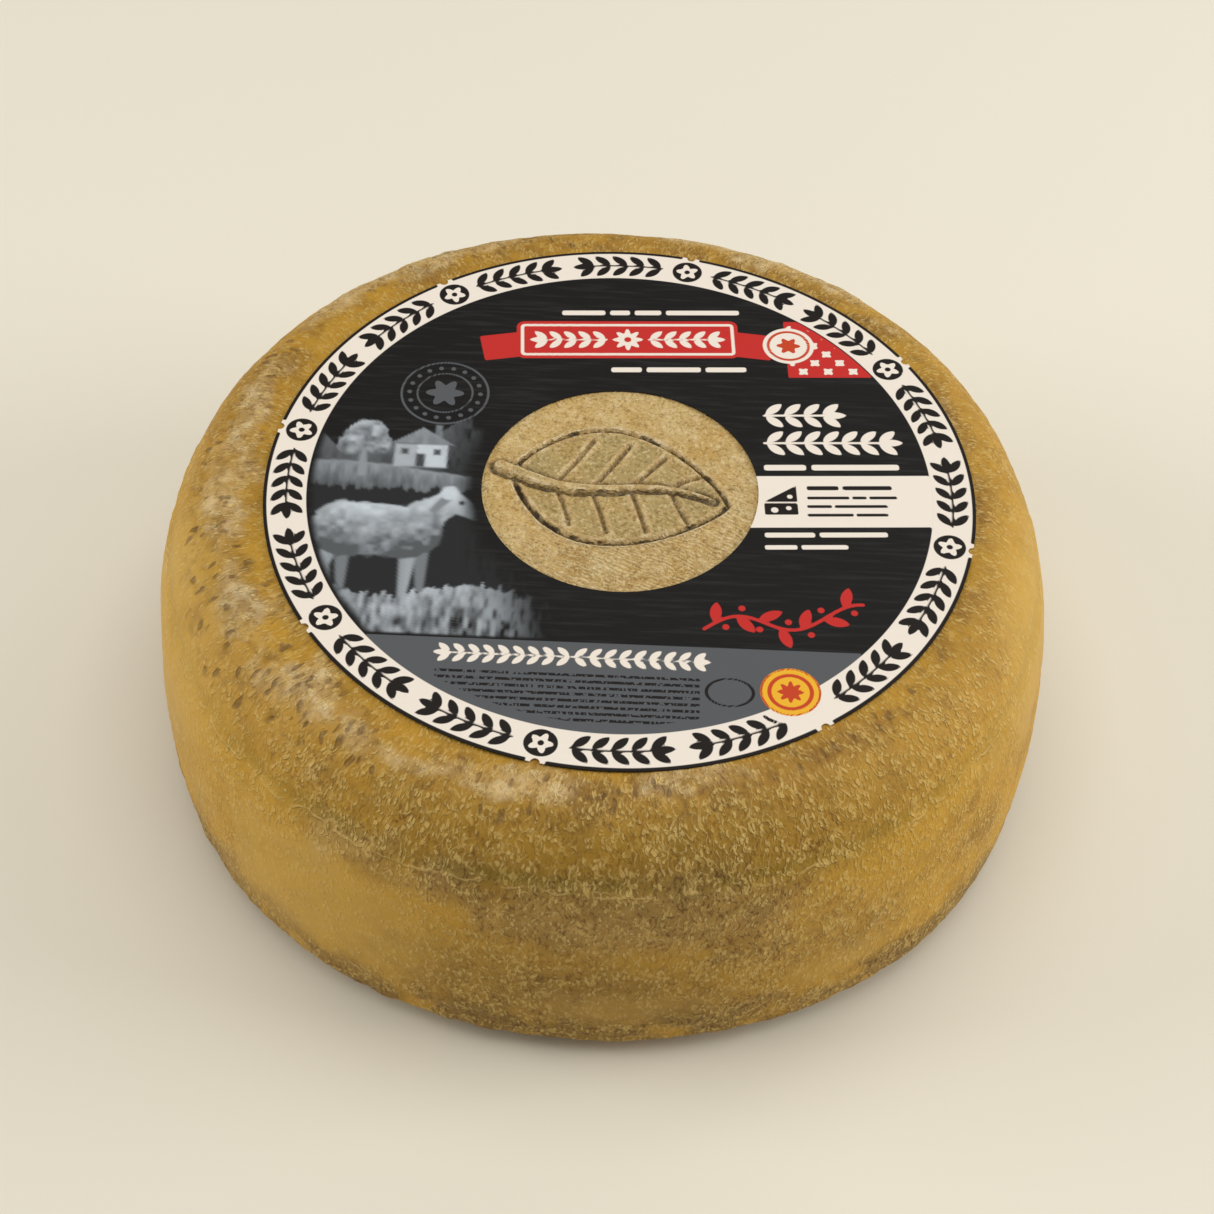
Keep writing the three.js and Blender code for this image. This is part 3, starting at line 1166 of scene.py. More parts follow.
def panel(places: np.ndarray, middle: Spot, size: Spot, turn: float = 0.0, corner: float = 0.0) -> np.ndarray:
    """Signed distance to a rectangle with round corners.

    The distance to the corner square's own middle, less the corner's radius, and inside the
    rectangle the distance to the nearest side.

    Args:
        places: two numbers each, in metres.
        middle: the rectangle's middle.
        size: its length and width.
        turn: how far it is turned, in degrees.
        corner: the radius of its corners.

    Returns:
        One distance for each place.
    """
    over = np.abs(to_local(places, middle, turn)) - np.array(size) / 2 + corner
    return np.linalg.norm(np.maximum(over, 0.0), axis=1) + np.minimum(over.max(axis=1), 0.0) - corner


def leaf(places: np.ndarray, start: Spot, length: float, width: float, turn: float) -> np.ndarray:
    """Signed distance to a pointed leaf, which is where two large discs overlap.

    Args:
        places: two numbers each, in metres.
        start: the leaf's base.
        length: from base to tip.
        width: at its middle.
        turn: the way it points, in degrees.

    Returns:
        One distance for each place.
    """
    local = to_local(places, start, turn)
    radius = (length**2 / 4 + width**2 / 4) / width
    return np.hypot(local[:, 0] - length / 2, np.abs(local[:, 1]) + radius - width / 2) - radius


def limb(places: np.ndarray, start: Spot, end: Spot, radii: tuple[float, float]) -> np.ndarray:
    """Signed distance to a tapered limb: the distance to its middle line, less a radius that changes evenly.

    Args:
        places: two numbers each, in metres.
        start: one end of the middle line.
        end: its other end.
        radii: the limb's radius at each of them.

    Returns:
        One distance for each place.
    """
    along = np.array(end) - np.array(start)
    away = places - np.array(start)
    share = np.clip(away @ along / (along @ along), 0.0, 1.0)
    return np.linalg.norm(away - share[:, None] * along, axis=1) - radii[0] - (radii[1] - radii[0]) * share


def flower(places: np.ndarray, middle: Spot, radius: float, petals: int) -> np.ndarray:
    """Signed distance to a flower: a disc whose radius swells by a quarter at each petal."""
    local = to_local(places, middle, 0.0)
    angle = np.arctan2(local[:, 1], local[:, 0])
    return np.hypot(local[:, 0], local[:, 1]) - radius * (0.78 + 0.22 * np.cos(petals * angle))


def sprig(
    places: np.ndarray, start: Spot, reach: float, size: float, pairs: int, turn: float = 0.0
) -> np.ndarray:
    """Signed distance to a straight sprig: a thin stem, pairs of leaves and one leaf at the tip.

    Args:
        places: two numbers each, in metres.
        start: the stem's foot.
        reach: from there to the tip.
        size: a leaf's length.
        pairs: how many pairs of leaves.
        turn: the way it points, in degrees.

    Returns:
        One distance for each place.
    """
    local = to_local(places, start, turn)
    local[:, 1] = np.abs(local[:, 1])
    stem = limb(local, (0.0, 0.0), (reach - 0.5 * size, 0.0), (0.06 * size, 0.06 * size))
    feet = np.linspace(0.02 * reach, reach - 1.05 * size, pairs)
    leaves = [leaf(local, (foot, 0.05 * size), size, 0.42 * size, 42.0) for foot in feet]
    return together(stem, leaf(local, (reach - size, 0.0), size, 0.4 * size, 0.0), *leaves)


def together(*shapes: np.ndarray) -> np.ndarray:
    """The signed distance to all the shapes: the smallest at each place."""
    return np.minimum.reduce(shapes)


def shared(*shapes: np.ndarray) -> np.ndarray:
    """The signed distance to what the shapes have in common: the largest at each place."""
    return np.maximum.reduce(shapes)


class Ink(Enum):
    """The label's printed layers, in the order that they are laid down; each is an attribute."""

    GREY = "grey_ink"
    RED = "red_ink"
    PALE = "pale_ink"
    AMBER = "amber_ink"
    MARK = "mark_ink"
    DARK = "dark_ink"
    SMALL_PRINT = "small_print"


@dataclass(frozen=True)
class LabelPrint:
    """The label's generic print, in metres from the label's middle; no words, names or badges."""

    radius: float
    hole: float
    field_radius: float = 88 * MM  # where the dark field meets the cream border
    edge_line: float = 1.0 * MM
    notch_count: int = 8
    notch_turn: float = 34.0
    seal_notch: int = 6  # the notch beside which the seal takes the bead's place
    tilt: float = 3.2  # the upper print's turn, in degrees
    strip_top: float = -57.5 * MM  # the top of the grey strip
    badge: Spot = (48.3 * MM, 60.8 * MM)
    seal_reach: float = 85.6 * MM  # from the label's middle to the seal's
    seal_past_notch: float = 269.2  # degrees from the first notch to the seal
    stamp: Spot = (-52.0 * MM, 35.2 * MM)
    stamp_beads: float = 10.3 * MM  # the radius of the stamp's ring of beads
    oval: Spot = (30.9 * MM, -72.6 * MM)
    pale_rows: tuple[Row, ...] = (
        ((-19.5, 71.4), (13, 6, 8, 22), 2.0),
        ((-4.0, 47.6), (9, 16, 12), 2.0),
        ((40.6, 10.0), (12, 25), 2.2),
        ((40.6, -16.0), (14, 19), 1.8),
        ((40.6, -20.6), (9, 13), 1.6),
    )
    dark_rows: tuple[Row, ...] = (
        ((52.6, 2.6), (9, 14), 1.6),
        ((52.6, -1.2), (12, 4, 8), 1.1),
        ((52.6, -4.5), (7, 15), 1.1),
        ((52.6, -7.8), (13, 9), 1.1),
    )

    @property
    def seal(self) -> Spot:
        """The middle of the round amber seal, across the border's inner edge."""
        angle = math.radians(self.notch_turn + self.seal_past_notch)
        return (self.seal_reach * math.cos(angle), self.seal_reach * math.sin(angle))

    def _unrolled(self, places: np.ndarray) -> tuple[np.ndarray, np.ndarray]:
        """Unrolls the border into eight like stretches, each centred on a notch.

        Args:
            places: two numbers each.

        Returns:
            For each place, the distance round from the nearest notch and out from the border's middle, and
            that notch's number.
        """
        pitch = 360.0 / self.notch_count
        angle = np.degrees(np.arctan2(places[:, 1], places[:, 0])) - self.notch_turn
        turned = wrapped(angle, pitch)
        middle = (self.field_radius + self.radius - self.edge_line) / 2
        unrolled = np.stack([np.radians(turned) * middle, np.linalg.norm(places, axis=1) - middle], axis=1)
        return unrolled, np.round(angle / pitch) % self.notch_count

    def _garland(self, places: np.ndarray) -> np.ndarray:
        """The border's dark ornament: a flower in a bead at each notch, and sprigs between them.

        Args:
            places: two numbers each, from the label's middle.

        Returns:
            The signed distance to it.
        """
        unrolled, number = self._unrolled(places)
        bead = shared(
            disc(unrolled, (0.0, 0.0), 4.5 * MM),
            -shared(flower(unrolled, (0.0, 0.0), 3.4 * MM, 5), -disc(unrolled, (0.0, 0.0), 0.9 * MM)),
        )
        bead = np.where(number == self.seal_notch, 1.0, bead)
        sprigs = sprig(folded(unrolled), (7.6 * MM, 0.0), 27.6 * MM, 6.2 * MM, 5)
        return shared(together(bead, sprigs), -disc(places, self.seal, 10.5 * MM))

    def _edge_line(self, places: np.ndarray) -> np.ndarray:
        """The dark line along the outer edge, which stops at each notch."""
        unrolled, _ = self._unrolled(places)
        line = self.radius - self.edge_line - np.linalg.norm(places, axis=1)
        return shared(line, 2.4 * MM - np.abs(unrolled[:, 0]))

    def _bars(self, places: np.ndarray, rows: tuple[Row, ...]) -> np.ndarray:
        """Rows of plain bars along the print's tilt, with gaps of 0.7 of the bars' height.

        Args:
            places: two numbers each.
            rows: the rows.

        Returns:
            One signed distance for each place.
        """
        bars = []
        for start, lengths, height in rows:
            local = to_local(places, (start[0] * MM, start[1] * MM), self.tilt)
            reach = 0.0
            for length in lengths:
                size = (length * MM, height * MM)
                bars.append(panel(local, ((reach + length / 2) * MM, 0.0), size, 0.0, 0.3 * height * MM))
                reach += length + 0.7 * height
        return together(*bars)

    def _banner(self, places: np.ndarray) -> tuple[np.ndarray, np.ndarray]:
        """The ribbon across the top.

        Args:
            places: two numbers each.

        Returns:
            The ribbon with its tails, and the pale ornament on it.
        """
        middle = (0.5 * MM, 60.8 * MM)
        ribbon = panel(places, middle, (66 * MM, 16 * MM), self.tilt, 2.5 * MM)
        left = panel(places, (-37.0 * MM, 55.8 * MM), (11 * MM, 10.5 * MM), self.tilt + 9, 0.5 * MM)
        right = panel(places, (38.0 * MM, 60.0 * MM), (11 * MM, 10.5 * MM), self.tilt - 9, 0.5 * MM)
        local = to_local(places, middle, self.tilt)
        rim = shared(np.abs(ribbon + 1.7 * MM) - 0.5 * MM, ribbon)
        eye = disc(local, (0.0, 0.0), 1.1 * MM)
        ornament = together(
            rim,
            shared(flower(local, (0.0, 0.0), 4.6 * MM, 8), -eye),
            sprig(folded(local), (6.2 * MM, 0.0), 23 * MM, 5.0 * MM, 5),
        )
        return together(ribbon, left, right), ornament

    def _wedge(self, places: np.ndarray) -> np.ndarray:
        """A small cut of cheese: its side with holes, and its top coming to a point.

        Args:
            places: two numbers each, from the label's middle.

        Returns:
            The signed distance to it.
        """
        local = to_local(places, (45.2 * MM, -3.4 * MM), self.tilt)
        across, up = local[:, 0], local[:, 1]
        side = panel(local, (0.0, -2.4 * MM), (9.4 * MM, 4.4 * MM), 0.0, 0.4 * MM)
        top = shared(0.35 * MM - up, across - 4.7 * MM, up - 0.35 * MM - 0.66 * (across + 4.7 * MM))
        holes = together(
            disc(local, (-1.9 * MM, -2.8 * MM), 1.05 * MM),
            disc(local, (2.1 * MM, -2.1 * MM), 0.8 * MM),
            disc(local, (2.7 * MM, 2.3 * MM), 0.8 * MM),
        )
        return shared(together(side, top), -holes)

    def _vine(self, places: np.ndarray) -> np.ndarray:
        """A red vine that climbs to the right, with a leaf at every bend and a few berries.

        Args:
            places: two numbers each, from the label's middle.

        Returns:
            The signed distance to it.
        """
        share = np.linspace(0.0, 1.0, 60)
        x = (24 + 43 * share) * MM
        y = (-51 + 7.5 * share + 3.4 * np.sin(8.2 * share)) * MM
        parts = [distance_to_path(places, np.stack([x, y], axis=1)) - 0.55 * MM]
        for step in range(7):
            number = 4 + 8 * step
            side = 1.0 if step % 2 == 0 else -1.0
            slope = math.degrees(math.atan2(y[number + 1] - y[number], x[number + 1] - x[number]))
            foot = (x[number], y[number])
            parts.append(leaf(places, foot, 7.4 * MM, 3.2 * MM, slope + 52 * side))
            turn = math.radians(slope - 60 * side)
            berry = (foot[0] + 3.2 * MM * math.cos(turn), foot[1] + 3.2 * MM * math.sin(turn))
            parts.append(disc(places, berry, 1.0 * MM))
        return together(*parts)

    def inks(self, places: np.ndarray) -> dict[Ink, np.ndarray]:
        """Draws every layer.

        Args:
            places: two numbers each, from the label's middle.

        Returns:
            For each ink, its signed distance at each place: less than 0 where there is ink.
        """
        reach = np.linalg.norm(places, axis=1)
        inside = reach - self.field_radius
        badge, seal = self.badge, self.seal
        banner, banner_ornament = self._banner(places)
        patch = shared(panel(places, (62 * MM, 60 * MM), (29 * MM, 24 * MM), self.tilt), inside + 0.4 * MM)
        tiles = wrapped(to_local(places, badge, self.tilt + 45), 5.2 * MM)
        dots = shared(flower(tiles, (0.0, 0.0), 1.75 * MM, 4), patch + 0.9 * MM)
        band = shared(panel(places, (63 * MM, -2.0 * MM), (60 * MM, 19.8 * MM), self.tilt), inside)
        stamp = self.stamp
        around = np.degrees(np.arctan2(places[:, 1] - stamp[1], places[:, 0] - stamp[0]))
        along = np.radians(wrapped(around, 20.0)) * self.stamp_beads
        from_bead = np.stack([along, disc(places, stamp, self.stamp_beads)], axis=1)
        stamp_rings = together(
            np.abs(disc(places, stamp, 12.6 * MM)) - 0.35 * MM,
            np.abs(disc(places, stamp, 8.0 * MM)) - 0.3 * MM,
            disc(from_bead, (0.0, 0.0), 0.75 * MM),
            flower(places, stamp, 5.6 * MM, 6),
        )
        oval = (places - self.oval) * (1.0, 1.35)
        small_print = panel(places, (-12 * MM, -77.0 * MM), (70 * MM, 17.4 * MM))
        pale = together(
            -inside,
            banner_ornament,
            self._bars(places, self.pale_rows),
            disc(places, badge, 7.6 * MM),
            dots,
            sprig(places, (40.8 * MM, 31.0 * MM), 24 * MM, 6.6 * MM, 4, self.tilt),
            sprig(places, (40.8 * MM, 19.8 * MM), 40 * MM, 6.6 * MM, 7, self.tilt),
            band,
            sprig(places, (-11 * MM, -62.6 * MM), 37 * MM, 4.4 * MM, 9),
            sprig(places, (-11 * MM, -62.6 * MM), 37 * MM, 4.4 * MM, 9, 180.0),
        )
        dark = together(
            self._garland(places),
            self._edge_line(places),
            self._wedge(places),
            self._bars(places, self.dark_rows),
            np.abs(np.hypot(oval[:, 0], oval[:, 1]) - 6.2 * MM) - 0.45 * MM,
        )
        mark = together(
            np.abs(disc(places, seal, 5.6 * MM)) - 0.55 * MM,
            flower(places, seal, 3.7 * MM, 8),
            np.abs(disc(places, seal, 7.75 * MM)) - 0.3 * MM,
            np.abs(disc(places, badge, 6.0 * MM)) - 0.45 * MM,
            flower(places, badge, 3.6 * MM, 6),
        )
        return {
            Ink.GREY: together(shared(places[:, 1] - self.strip_top, inside), stamp_rings),
            Ink.RED: together(banner, patch, self._vine(places)),
            Ink.PALE: pale,
            Ink.AMBER: disc(places, seal, 8.0 * MM),
            Ink.MARK: mark,
            Ink.DARK: dark,
            Ink.SMALL_PRINT: shared(small_print, inside + 3 * MM),
        }


class Vignette:
    """The grey picture on the label's left: a farmhouse on a hill and a sheep in the meadow below it."""

    def __init__(self, places: np.ndarray) -> None:
        """Starts it empty.

        Args:
            places: two numbers each, from the label's middle, in metres.
        """
        self.places = places
        self.light = np.zeros(len(places))
        self.cover = np.zeros(len(places))
        flat = np.column_stack([places, np.zeros(len(places))])
        self.wool = Lattice(23).fractal(flat, 2.2 * MM, 2)
        self.tufts = Lattice(29).fractal(flat * (2.4, 0.8, 1.0), 3.0 * MM, 2)
        self.clouds = Lattice(31).fractal(flat, 14 * MM, 3)

    def _lay(self, shade: np.ndarray | float, distance: np.ndarray) -> None:
        """Lays a shade over what is there, inside a signed distance."""
        share = 1.0 - ease(distance, -0.55 * MM, 0.55 * MM)
        self.light += (shade - self.light) * share
        self.cover += (1.0 - self.cover) * share

    def _land(self) -> None:
        """Two ridges, dusk below them, and rough grass in front."""
        x, y = self.places.T
        far = (17 + 6 * np.sin(x / (9 * MM)) + 2.5 * np.sin(x / (3.7 * MM) + 1.0)) * MM
        near = (4 + 2.5 * np.sin(x / (15 * MM) + 0.6)) * MM
        self._lay(0.16 + 6.0 * (y - far) + 0.05 * self.tufts, y - far)
        self._lay(0.40 + 26.0 * (y - near) + 0.12 * self.tufts, y - near + 0.5 * MM * self.tufts)
        self._lay(0.02, y + (4 + 2 * self.tufts) * MM)
        grass = y - (-41 + 2.0 * np.sin(x / (8 * MM)) + 2.4 * self.tufts) * MM
        self._lay(0.50 + 0.45 * self.tufts + 16.0 * grass, grass)

    def _farm(self) -> None:
        """A small house with a dark roof and a round tree beside it."""
        places = self.places
        x, y = places.T
        walls = panel(places, (-57 * MM, 9.5 * MM), (15 * MM, 9 * MM))
        roof = shared(14 * MM - y, y - 14 * MM - 0.75 * (9.2 * MM - np.abs(x + 57 * MM)))
        self._lay(0.30, panel(places, (-52.5 * MM, 19.5 * MM), (2.2 * MM, 5 * MM)))
        self._lay(np.where(x < -58 * MM, 0.62, 0.88) + 0.05 * self.wool, walls)
        self._lay(0.36 + 0.08 * self.tufts, roof)
        self._lay(0.08, panel(places, (-57 * MM, 7.6 * MM), (2.6 * MM, 5.2 * MM)))
        for middle in (-61.6, -52.4):
            self._lay(0.10, panel(places, (middle * MM, 11 * MM), (2.0 * MM, 2.2 * MM)))
        self._lay(0.42, limb(places, (-73 * MM, 2 * MM), (-73.5 * MM, 13 * MM), (1.3 * MM, 0.9 * MM)))
        crown = together(
            disc(places, (-73 * MM, 17 * MM), 6.2 * MM),
            disc(places, (-77 * MM, 13 * MM), 4.2 * MM),
            disc(places, (-69.5 * MM, 13.5 * MM), 4.2 * MM),
        )
        self._lay(0.46 + 0.40 * self.wool + 26.0 * (y - 15 * MM), crown + 1.2 * MM * self.wool)

    def _sheep(self) -> None:
        """A standing sheep with a woolly body and neck, a bare face, a hanging ear and thin legs."""
        local = (self.places - (-66 * MM, -20 * MM)) / MM
        across, up = local.T
        far_legs = [limb(local, (foot - 0.6, -6), (foot, -21), (2.2, 1.1)) for foot in (-9.0, 12.6)]
        near_legs = [
            limb(local, (-13, -5), (-14.2, -13), (3.2, 1.5)),
            limb(local, (-14.2, -13), (-12.8, -23), (1.5, 1.2)),
            limb(local, (8.6, -6), (8.0, -23), (2.6, 1.2)),
        ]
        self._lay(0.28, together(*far_legs) * MM)
        self._lay(0.56 - 0.05 * np.abs(across % 6 - 3), together(*near_legs) * MM)
        body = together(
            limb(local, (-9.5, 0.5), (7.5, 0.0), (10.2, 9.6)),
            limb(local, (9, 2.5), (16.5, 10.0), (7.4, 4.6)),
            disc(local, (-19.0, -1.0), 2.8),
        )
        shade = 0.50 + 0.040 * up - 0.012 * np.abs(across + 2) + 0.26 * self.wool
        self._lay(np.clip(shade, 0.14, 0.95), (body + 1.0 * self.wool) * MM)
        head = limb(local, (18.6, 12.4), (26.2, 7.6), (4.0, 2.3))
        self._lay(0.62 + 0.05 * (up - 9) + 0.08 * self.wool, head * MM)
        self._lay(0.20, limb(local, (27.6, 7.0), (26.0, 5.9), (0.7, 0.5)) * MM)
        self._lay(0.34, limb(local, (17.8, 13.4), (14.4, 8.6), (1.5, 1.1)) * MM)
        self._lay(0.90 + 0.10 * self.wool, (disc(local, (18.4, 15.2), 2.6) + 0.5 * self.wool) * MM)
        self._lay(0.04, disc(local, (22.0, 11.6), 0.8) * MM)

    def draw(self, inner: float, outer: float, bottom: float) -> tuple[np.ndarray, np.ndarray]:
        """Draws the picture and fades it out towards its edges.

        Args:
            inner: the radius of the label's hole.
            outer: the radius of the dark field.
            bottom: the top of the grey strip.

        Returns:
            How light it is, and how much it covers, 0 to 1.
        """
        self._land()
        self._farm()
        self._sheep()
        x, y = self.places.T
        reach = np.linalg.norm(self.places, axis=1)
        edge = ease(outer - reach, 0.5 * MM, 3 * MM) * ease(reach, inner + 2 * MM, inner + 8 * MM)
        ragged = x + (7 * self.tufts + 5 * self.clouds) * MM + 0.25 * (y + 20 * MM)
        edge *= 1.0 - ease(ragged, -42 * MM, -27 * MM)
        edge *= ease(y, bottom + 0.5 * MM, bottom + 1.5 * MM)
        return np.clip(self.light, 0.0, 1.0), np.clip(self.cover * edge, 0.0, 1.0)


@dataclass(frozen=True)
class LabelFinish:
    """Printed paper: the inks laid over a near-black field with faint streaks."""

    field_dark: Colour = srgb(17, 15, 13)
    field_streak: Colour = srgb(34, 33, 31)
    grey: Colour = srgb(86, 88, 90)
    picture_light: Colour = srgb(205, 212, 216)
    red: Colour = srgb(196, 44, 38)
    cream: Colour = srgb(238, 226, 210)
    amber: Colour = srgb(236, 178, 44)
    mark: Colour = srgb(196, 66, 30)
    ink: Colour = srgb(24, 18, 14)
    edge: float = 0.16 * MM  # how far an ink's edge takes to fade
    row_pitch: float = 2.15 * MM  # from one row of the small print to the next

    def _share(self, board: Board, ink: Ink) -> Wire:
        """Where an ink lies, from its signed distance."""
        return board.step(board.attribute(ink.value), self.edge, -self.edge)

    def _small_print(self, board: Board, place: Wire) -> Wire:
        """Rows of specks, broken into stretches that differ from row to row, in their own area.

        Args:
            board: the material under way.
            place: the object's coordinates.

        Returns:
            1 on a speck and 0 elsewhere.
        """
        across = board.part(place, "X")
        rows = board.part(place, "Y") * (1.0 / self.row_pitch)
        row = board.node("ShaderNodeMath", {"operation": "FLOOR"}, {0: rows})
        part = rows - row
        line = board.step(part, 0.22, 0.34) * board.step(part, 0.78, 0.66)
        spot = board.node("ShaderNodeCombineXYZ", {}, {"X": across, "Y": row * 0.37})
        words = board.step(board.noise(spot, 1.5 * MM, 1.0), 0.30, 0.36)
        specks = board.step(board.noise(board.stretched(place, (1.0, 0.6, 1.0)), 0.34 * MM, 0.0), 0.34, 0.48)
        return line * words * specks * self._share(board, Ink.SMALL_PRINT)

    def material(self) -> bpy.types.Material:
        """Builds the finish.

        Returns:
            The material.
        """
        board = Board("label_finish")
        place = board.node("ShaderNodeTexCoord", {}, {}, "Object")
        streaks = board.noise(board.stretched(place, (0.07, 1.0, 1.0)), 0.5 * MM, 3.0)
        colour = board.mix(board.step(streaks, 0.45, 0.75), self.field_dark, self.field_streak)
        shade = board.mix(board.attribute("picture_light"), self.field_dark, self.picture_light)
        colour = board.mix(board.attribute("picture_cover"), colour, shade)
        colour = board.mix(self._share(board, Ink.GREY), colour, self.grey)
        colour = board.mix(self._small_print(board, place), colour, self.ink)
        layers = ((Ink.RED, self.red), (Ink.PALE, self.cream), (Ink.AMBER, self.amber), (Ink.MARK, self.mark))
        for ink, shade_colour in (*layers, (Ink.DARK, self.ink)):
            colour = board.mix(self._share(board, ink), colour, shade_colour)
        fibres = board.noise(place, 0.35 * MM, 2.0)
        return board.finish(
            {
                "Base Color": colour,
                "Roughness": 0.42 + fibres * 0.16,
                "Specular IOR Level": 0.22,
                "Normal": board.bump(fibres, 0.02 * MM),
            }
        )


@dataclass
class PaperLabel:
    """The ring of paper: a top sheet with its print, a rim with small round notches, and a back."""

    name: str = "label"
    node: str = "paper_label"
    slot: str = "label_paper"
    hole_radius: float = 39 * MM
    notch_radius: float = 1.3 * MM
    rings: int = 88
    spokes: int = 860
    notch_steps: int = 14

    def __post_init__(self) -> None:
        """Takes its size and place from the frame."""
        self.low, self.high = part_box(self.node)
        self.middle = np.array(((self.low + self.high) / 2).xy)
        self.print = LabelPrint(radius=(self.high.x - self.low.x) / 2, hole=self.hole_radius)

    def _angles(self) -> np.ndarray:
        """Spoke directions: even ones, and a close set across each notch.

        Returns:
            The directions, in rising order.
        """
        even = np.linspace(0.0, FULL_TURN, self.spokes, endpoint=False)
        reach = self.notch_radius / self.print.radius
        pitch = FULL_TURN / self.print.notch_count
        notches = math.radians(self.print.notch_turn) + pitch * np.arange(self.print.notch_count)
        across = -reach * np.cos(np.linspace(0.0, math.pi, self.notch_steps))
        close = (notches[:, None] + across).ravel() % FULL_TURN
        away = np.abs(wrapped(even[:, None] - notches, pitch)).min(axis=1)
        return np.sort(np.concatenate([even[away > reach * 1.02], close]))

    def _rim(self, angle: np.ndarray) -> np.ndarray:
        """The outer edge's radius: the label's, less a half circle's depth across each notch.

        Args:
            angle: directions from the label's middle.

        Returns:
            A radius for each direction.
        """
        turned = wrapped(angle - math.radians(self.print.notch_turn), FULL_TURN / self.print.notch_count)
        across = turned * self.print.radius / self.notch_radius
        return self.print.radius - self.notch_radius * np.sqrt(np.clip(1.0 - across**2, 0.0, 1.0))

    def build(self) -> bpy.types.Object:
        """Makes the ring: radius hole + t · (rim - hole), with its rings evenly spaced in t.

        Returns:
            The object, with the print as attributes.
        """
        angle = self._angles()
        around = len(angle)
        share = np.linspace(0.0, 1.0, self.rings)
        radius = self.print.hole + share[:, None] * (self._rim(angle) - self.print.hole)
        spot = np.stack([radius * np.cos(angle), radius * np.sin(angle)], axis=-1)
        lift = 0.1 * MM * (1.0 + np.sin(3 * angle + 1.0)) * share[:, None] ** 6
        heights = self.high.z + lift
        top = np.concatenate([spot, heights[..., None]], axis=-1)
        back = top[[-1, 0]] - (0.0, 0.0, self.high.z - self.low.z)
        points = np.concatenate([top, back]).reshape(-1, 3)
        places = points[:, :2].copy()
        points[:, :2] += self.middle
        number = np.arange(len(points)).reshape(-1, around)
        loops = [*number, number[0]]
        strips = [joined_rings(outer, inner) for inner, outer in zip(loops[:-1], loops[1:])]
        piece = make_piece(self.name, points, np.concatenate(strips), np.zeros((0, 3), int))
        piece.data.set_sharp_from_angle(angle=math.radians(50))
        for ink, distance in self.print.inks(places).items():
            write_attribute(piece, ink.value, distance)
        light, cover = Vignette(places).draw(self.print.hole, self.print.field_radius, self.print.strip_top)
        write_attribute(piece, "picture_light", light)
        write_attribute(piece, "picture_cover", cover)
        return piece

    def dress(self, piece: bpy.types.Object) -> None:
        """Gives the piece that build made its finish and its place in the frame."""
        settle(piece, self.node, LabelFinish().material())


@dataclass(frozen=True)
class Viewpoint:
    """The camera: how far from the label's middle it stands, and how it is aimed."""

    distance: float = 0.7006
    elevation: float = math.radians(46.38)
    roll: float = 0.0396
    pitch: float = 0.0482
    yaw: float = 0.0034
    lens: float = 73.70  # mm, on a 36 mm sensor

    def place(self, target: Vector) -> None:
        """Puts the camera in the scene.

        Args:
            target: the label's middle.
        """
        lens = bpy.data.cameras.new("camera")
        lens.lens = self.lens
        lens.sensor_width = 36.0
        lens.clip_start = 0.01
        lens.clip_end = 30.0
        camera = bpy.data.objects.new("camera", lens)
        back = Vector((0.0, -math.cos(self.elevation), math.sin(self.elevation)))
        right = np.array([1.0, 0.0, 0.0])
        ahead = -np.array(back)
        axes = np.stack([right, np.cross(ahead, right), ahead])  # to the right, down and ahead
        for angle, plane in ((self.yaw, (2, 0)), (self.pitch, (1, 2)), (self.roll, (0, 1))):
            axes = self._turned(angle, plane) @ axes
        facing = Matrix((axes * [[1.0], [-1.0], [-1.0]]).tolist()).transposed()
        camera.matrix_world = Matrix.Translation(target + back * self.distance) @ facing.to_4x4()
        bpy.context.scene.collection.objects.link(camera)
        bpy.context.scene.camera = camera

    @staticmethod
    def _turned(angle: float, plane: tuple[int, int]) -> np.ndarray:
        """The matrix that turns the first axis of a plane towards its second.

        Args:
            angle: how far it turns.
            plane: the numbers of the two axes.

        Returns:
            Three rows of three numbers.
        """
        matrix = np.eye(3)
        first, second = plane
        matrix[first, first] = matrix[second, second] = math.cos(angle)
        matrix[first, second], matrix[second, first] = -math.sin(angle), math.sin(angle)
        return matrix


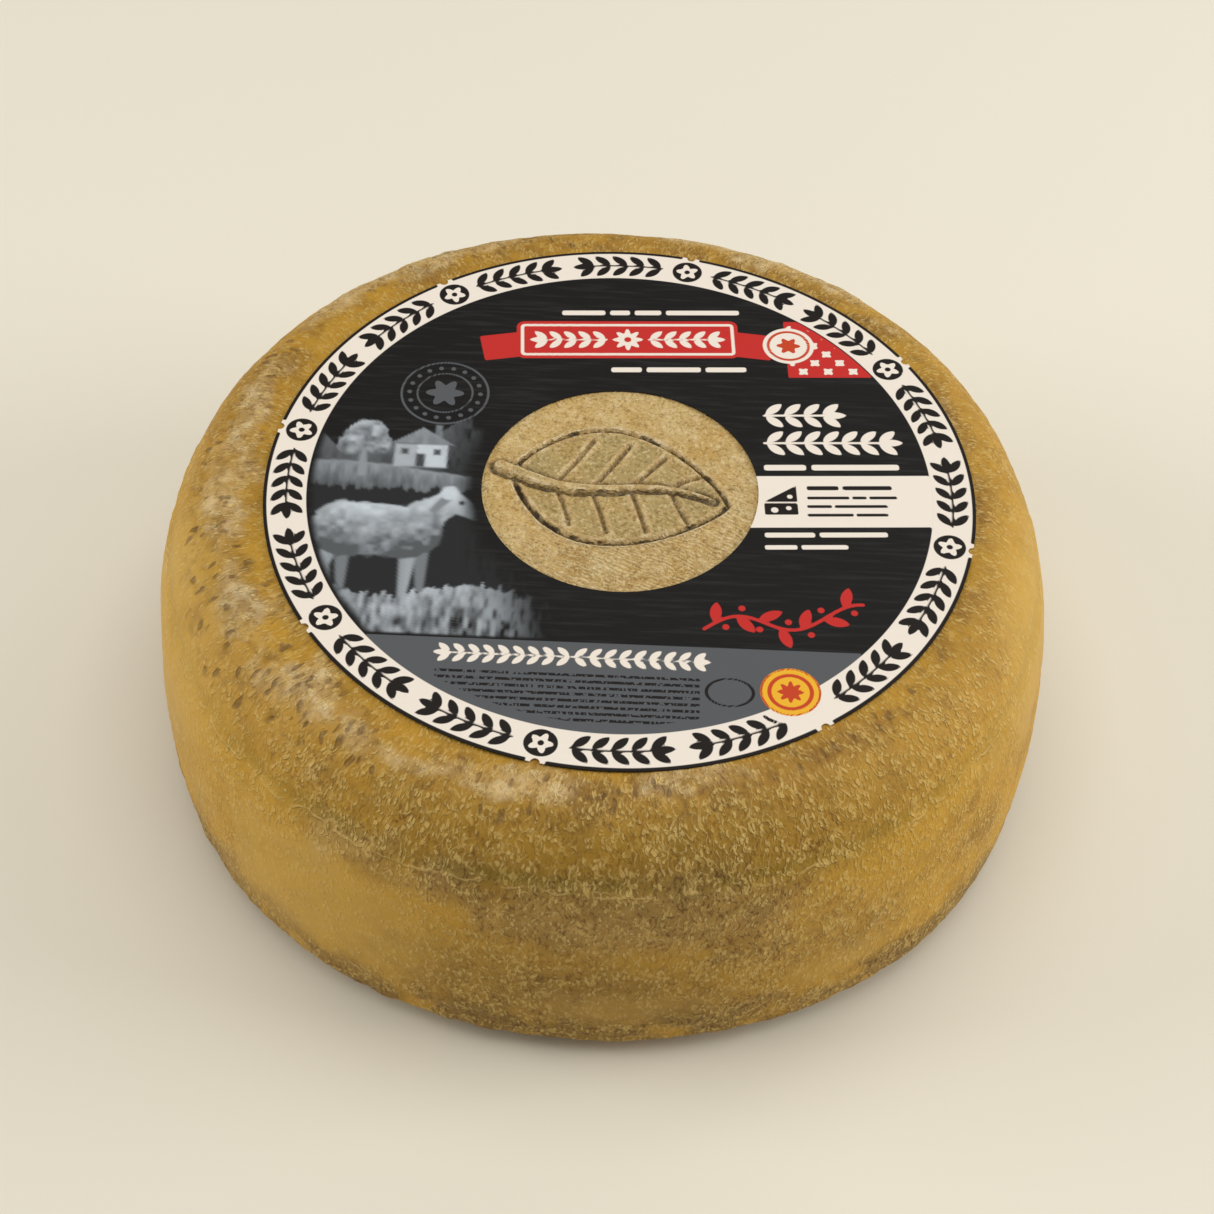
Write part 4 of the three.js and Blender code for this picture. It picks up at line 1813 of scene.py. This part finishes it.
@dataclass(frozen=True)
class Softbox:
    """A square area light aimed at the wheel."""

    name: str
    place: tuple[float, float, float]
    size: float
    power: float  # watts
    colour: tuple[float, float, float] = (1.0, 1.0, 1.0)

    def hang(self, target: Vector) -> None:
        """Puts the light in the scene, aimed at the target.

        Args:
            target: the place that it is aimed at.
        """
        lamp = bpy.data.lights.new(self.name, "AREA")
        lamp.size = self.size
        lamp.energy = self.power
        lamp.color = self.colour
        holder = bpy.data.objects.new(self.name, lamp)
        holder.location = self.place
        holder.rotation_euler = (target - Vector(self.place)).to_track_quat("-Z", "Y").to_euler()
        bpy.context.scene.collection.objects.link(holder)


@dataclass(frozen=True)
class Studio:
    """A pale floor under soft light."""

    floor_colour: Colour = srgb(233, 226, 207)
    floor_half: float = 6.0
    surround: float = 0.26
    lights: tuple[Softbox, ...] = (
        Softbox("overhead", (0.0, 0.0, 1.6), 1.4, 10.6),
        Softbox("overhead_right", (0.9, 0.3, 1.3), 1.0, 1.6),
        Softbox("left_fill", (-1.6, 0.0, 0.7), 0.9, 12.5),
        Softbox("right_fill", (1.6, 0.0, 0.7), 0.9, 14.6),
        Softbox("back_right", (1.1, 1.3, 0.9), 0.9, 3.8),
    )

    def build(self) -> None:
        """Makes the floor, the lights and the plain surround."""
        half = self.floor_half
        corners = np.array([(-half, -half, 0), (half, -half, 0), (half, half, 0), (-half, half, 0)])
        floor = make_piece("floor", corners, np.array([[0, 1, 2, 3]]), np.zeros((0, 3), int))
        board = Board("floor_finish")
        floor.data.materials.append(
            board.finish({"Base Color": self.floor_colour, "Roughness": 0.9, "Specular IOR Level": 0.1})
        )
        target = Vector((0.0, 0.0, 0.05))
        for light in self.lights:
            light.hang(target)
        world = bpy.data.worlds.new("surround")
        world.use_nodes = True
        background = world.node_tree.nodes["Background"]
        background.inputs["Color"].default_value = (1.0, 1.0, 1.0, 1.0)
        background.inputs["Strength"].default_value = self.surround
        bpy.context.scene.world = world
        bpy.context.scene.view_settings.view_transform = "Standard"


def main() -> None:
    """Builds the studio, the rind and the label in order, and notes their sizes."""
    logging.basicConfig(level=logging.INFO, format="%(name)s %(message)s")
    Studio().build()
    label = PaperLabel()
    Viewpoint().place(Vector((*label.middle, label.high.z)))
    for part in (WheelSkin(), label):
        piece = part.build()
        part.dress(piece)


if __name__ == "__main__":
    main()
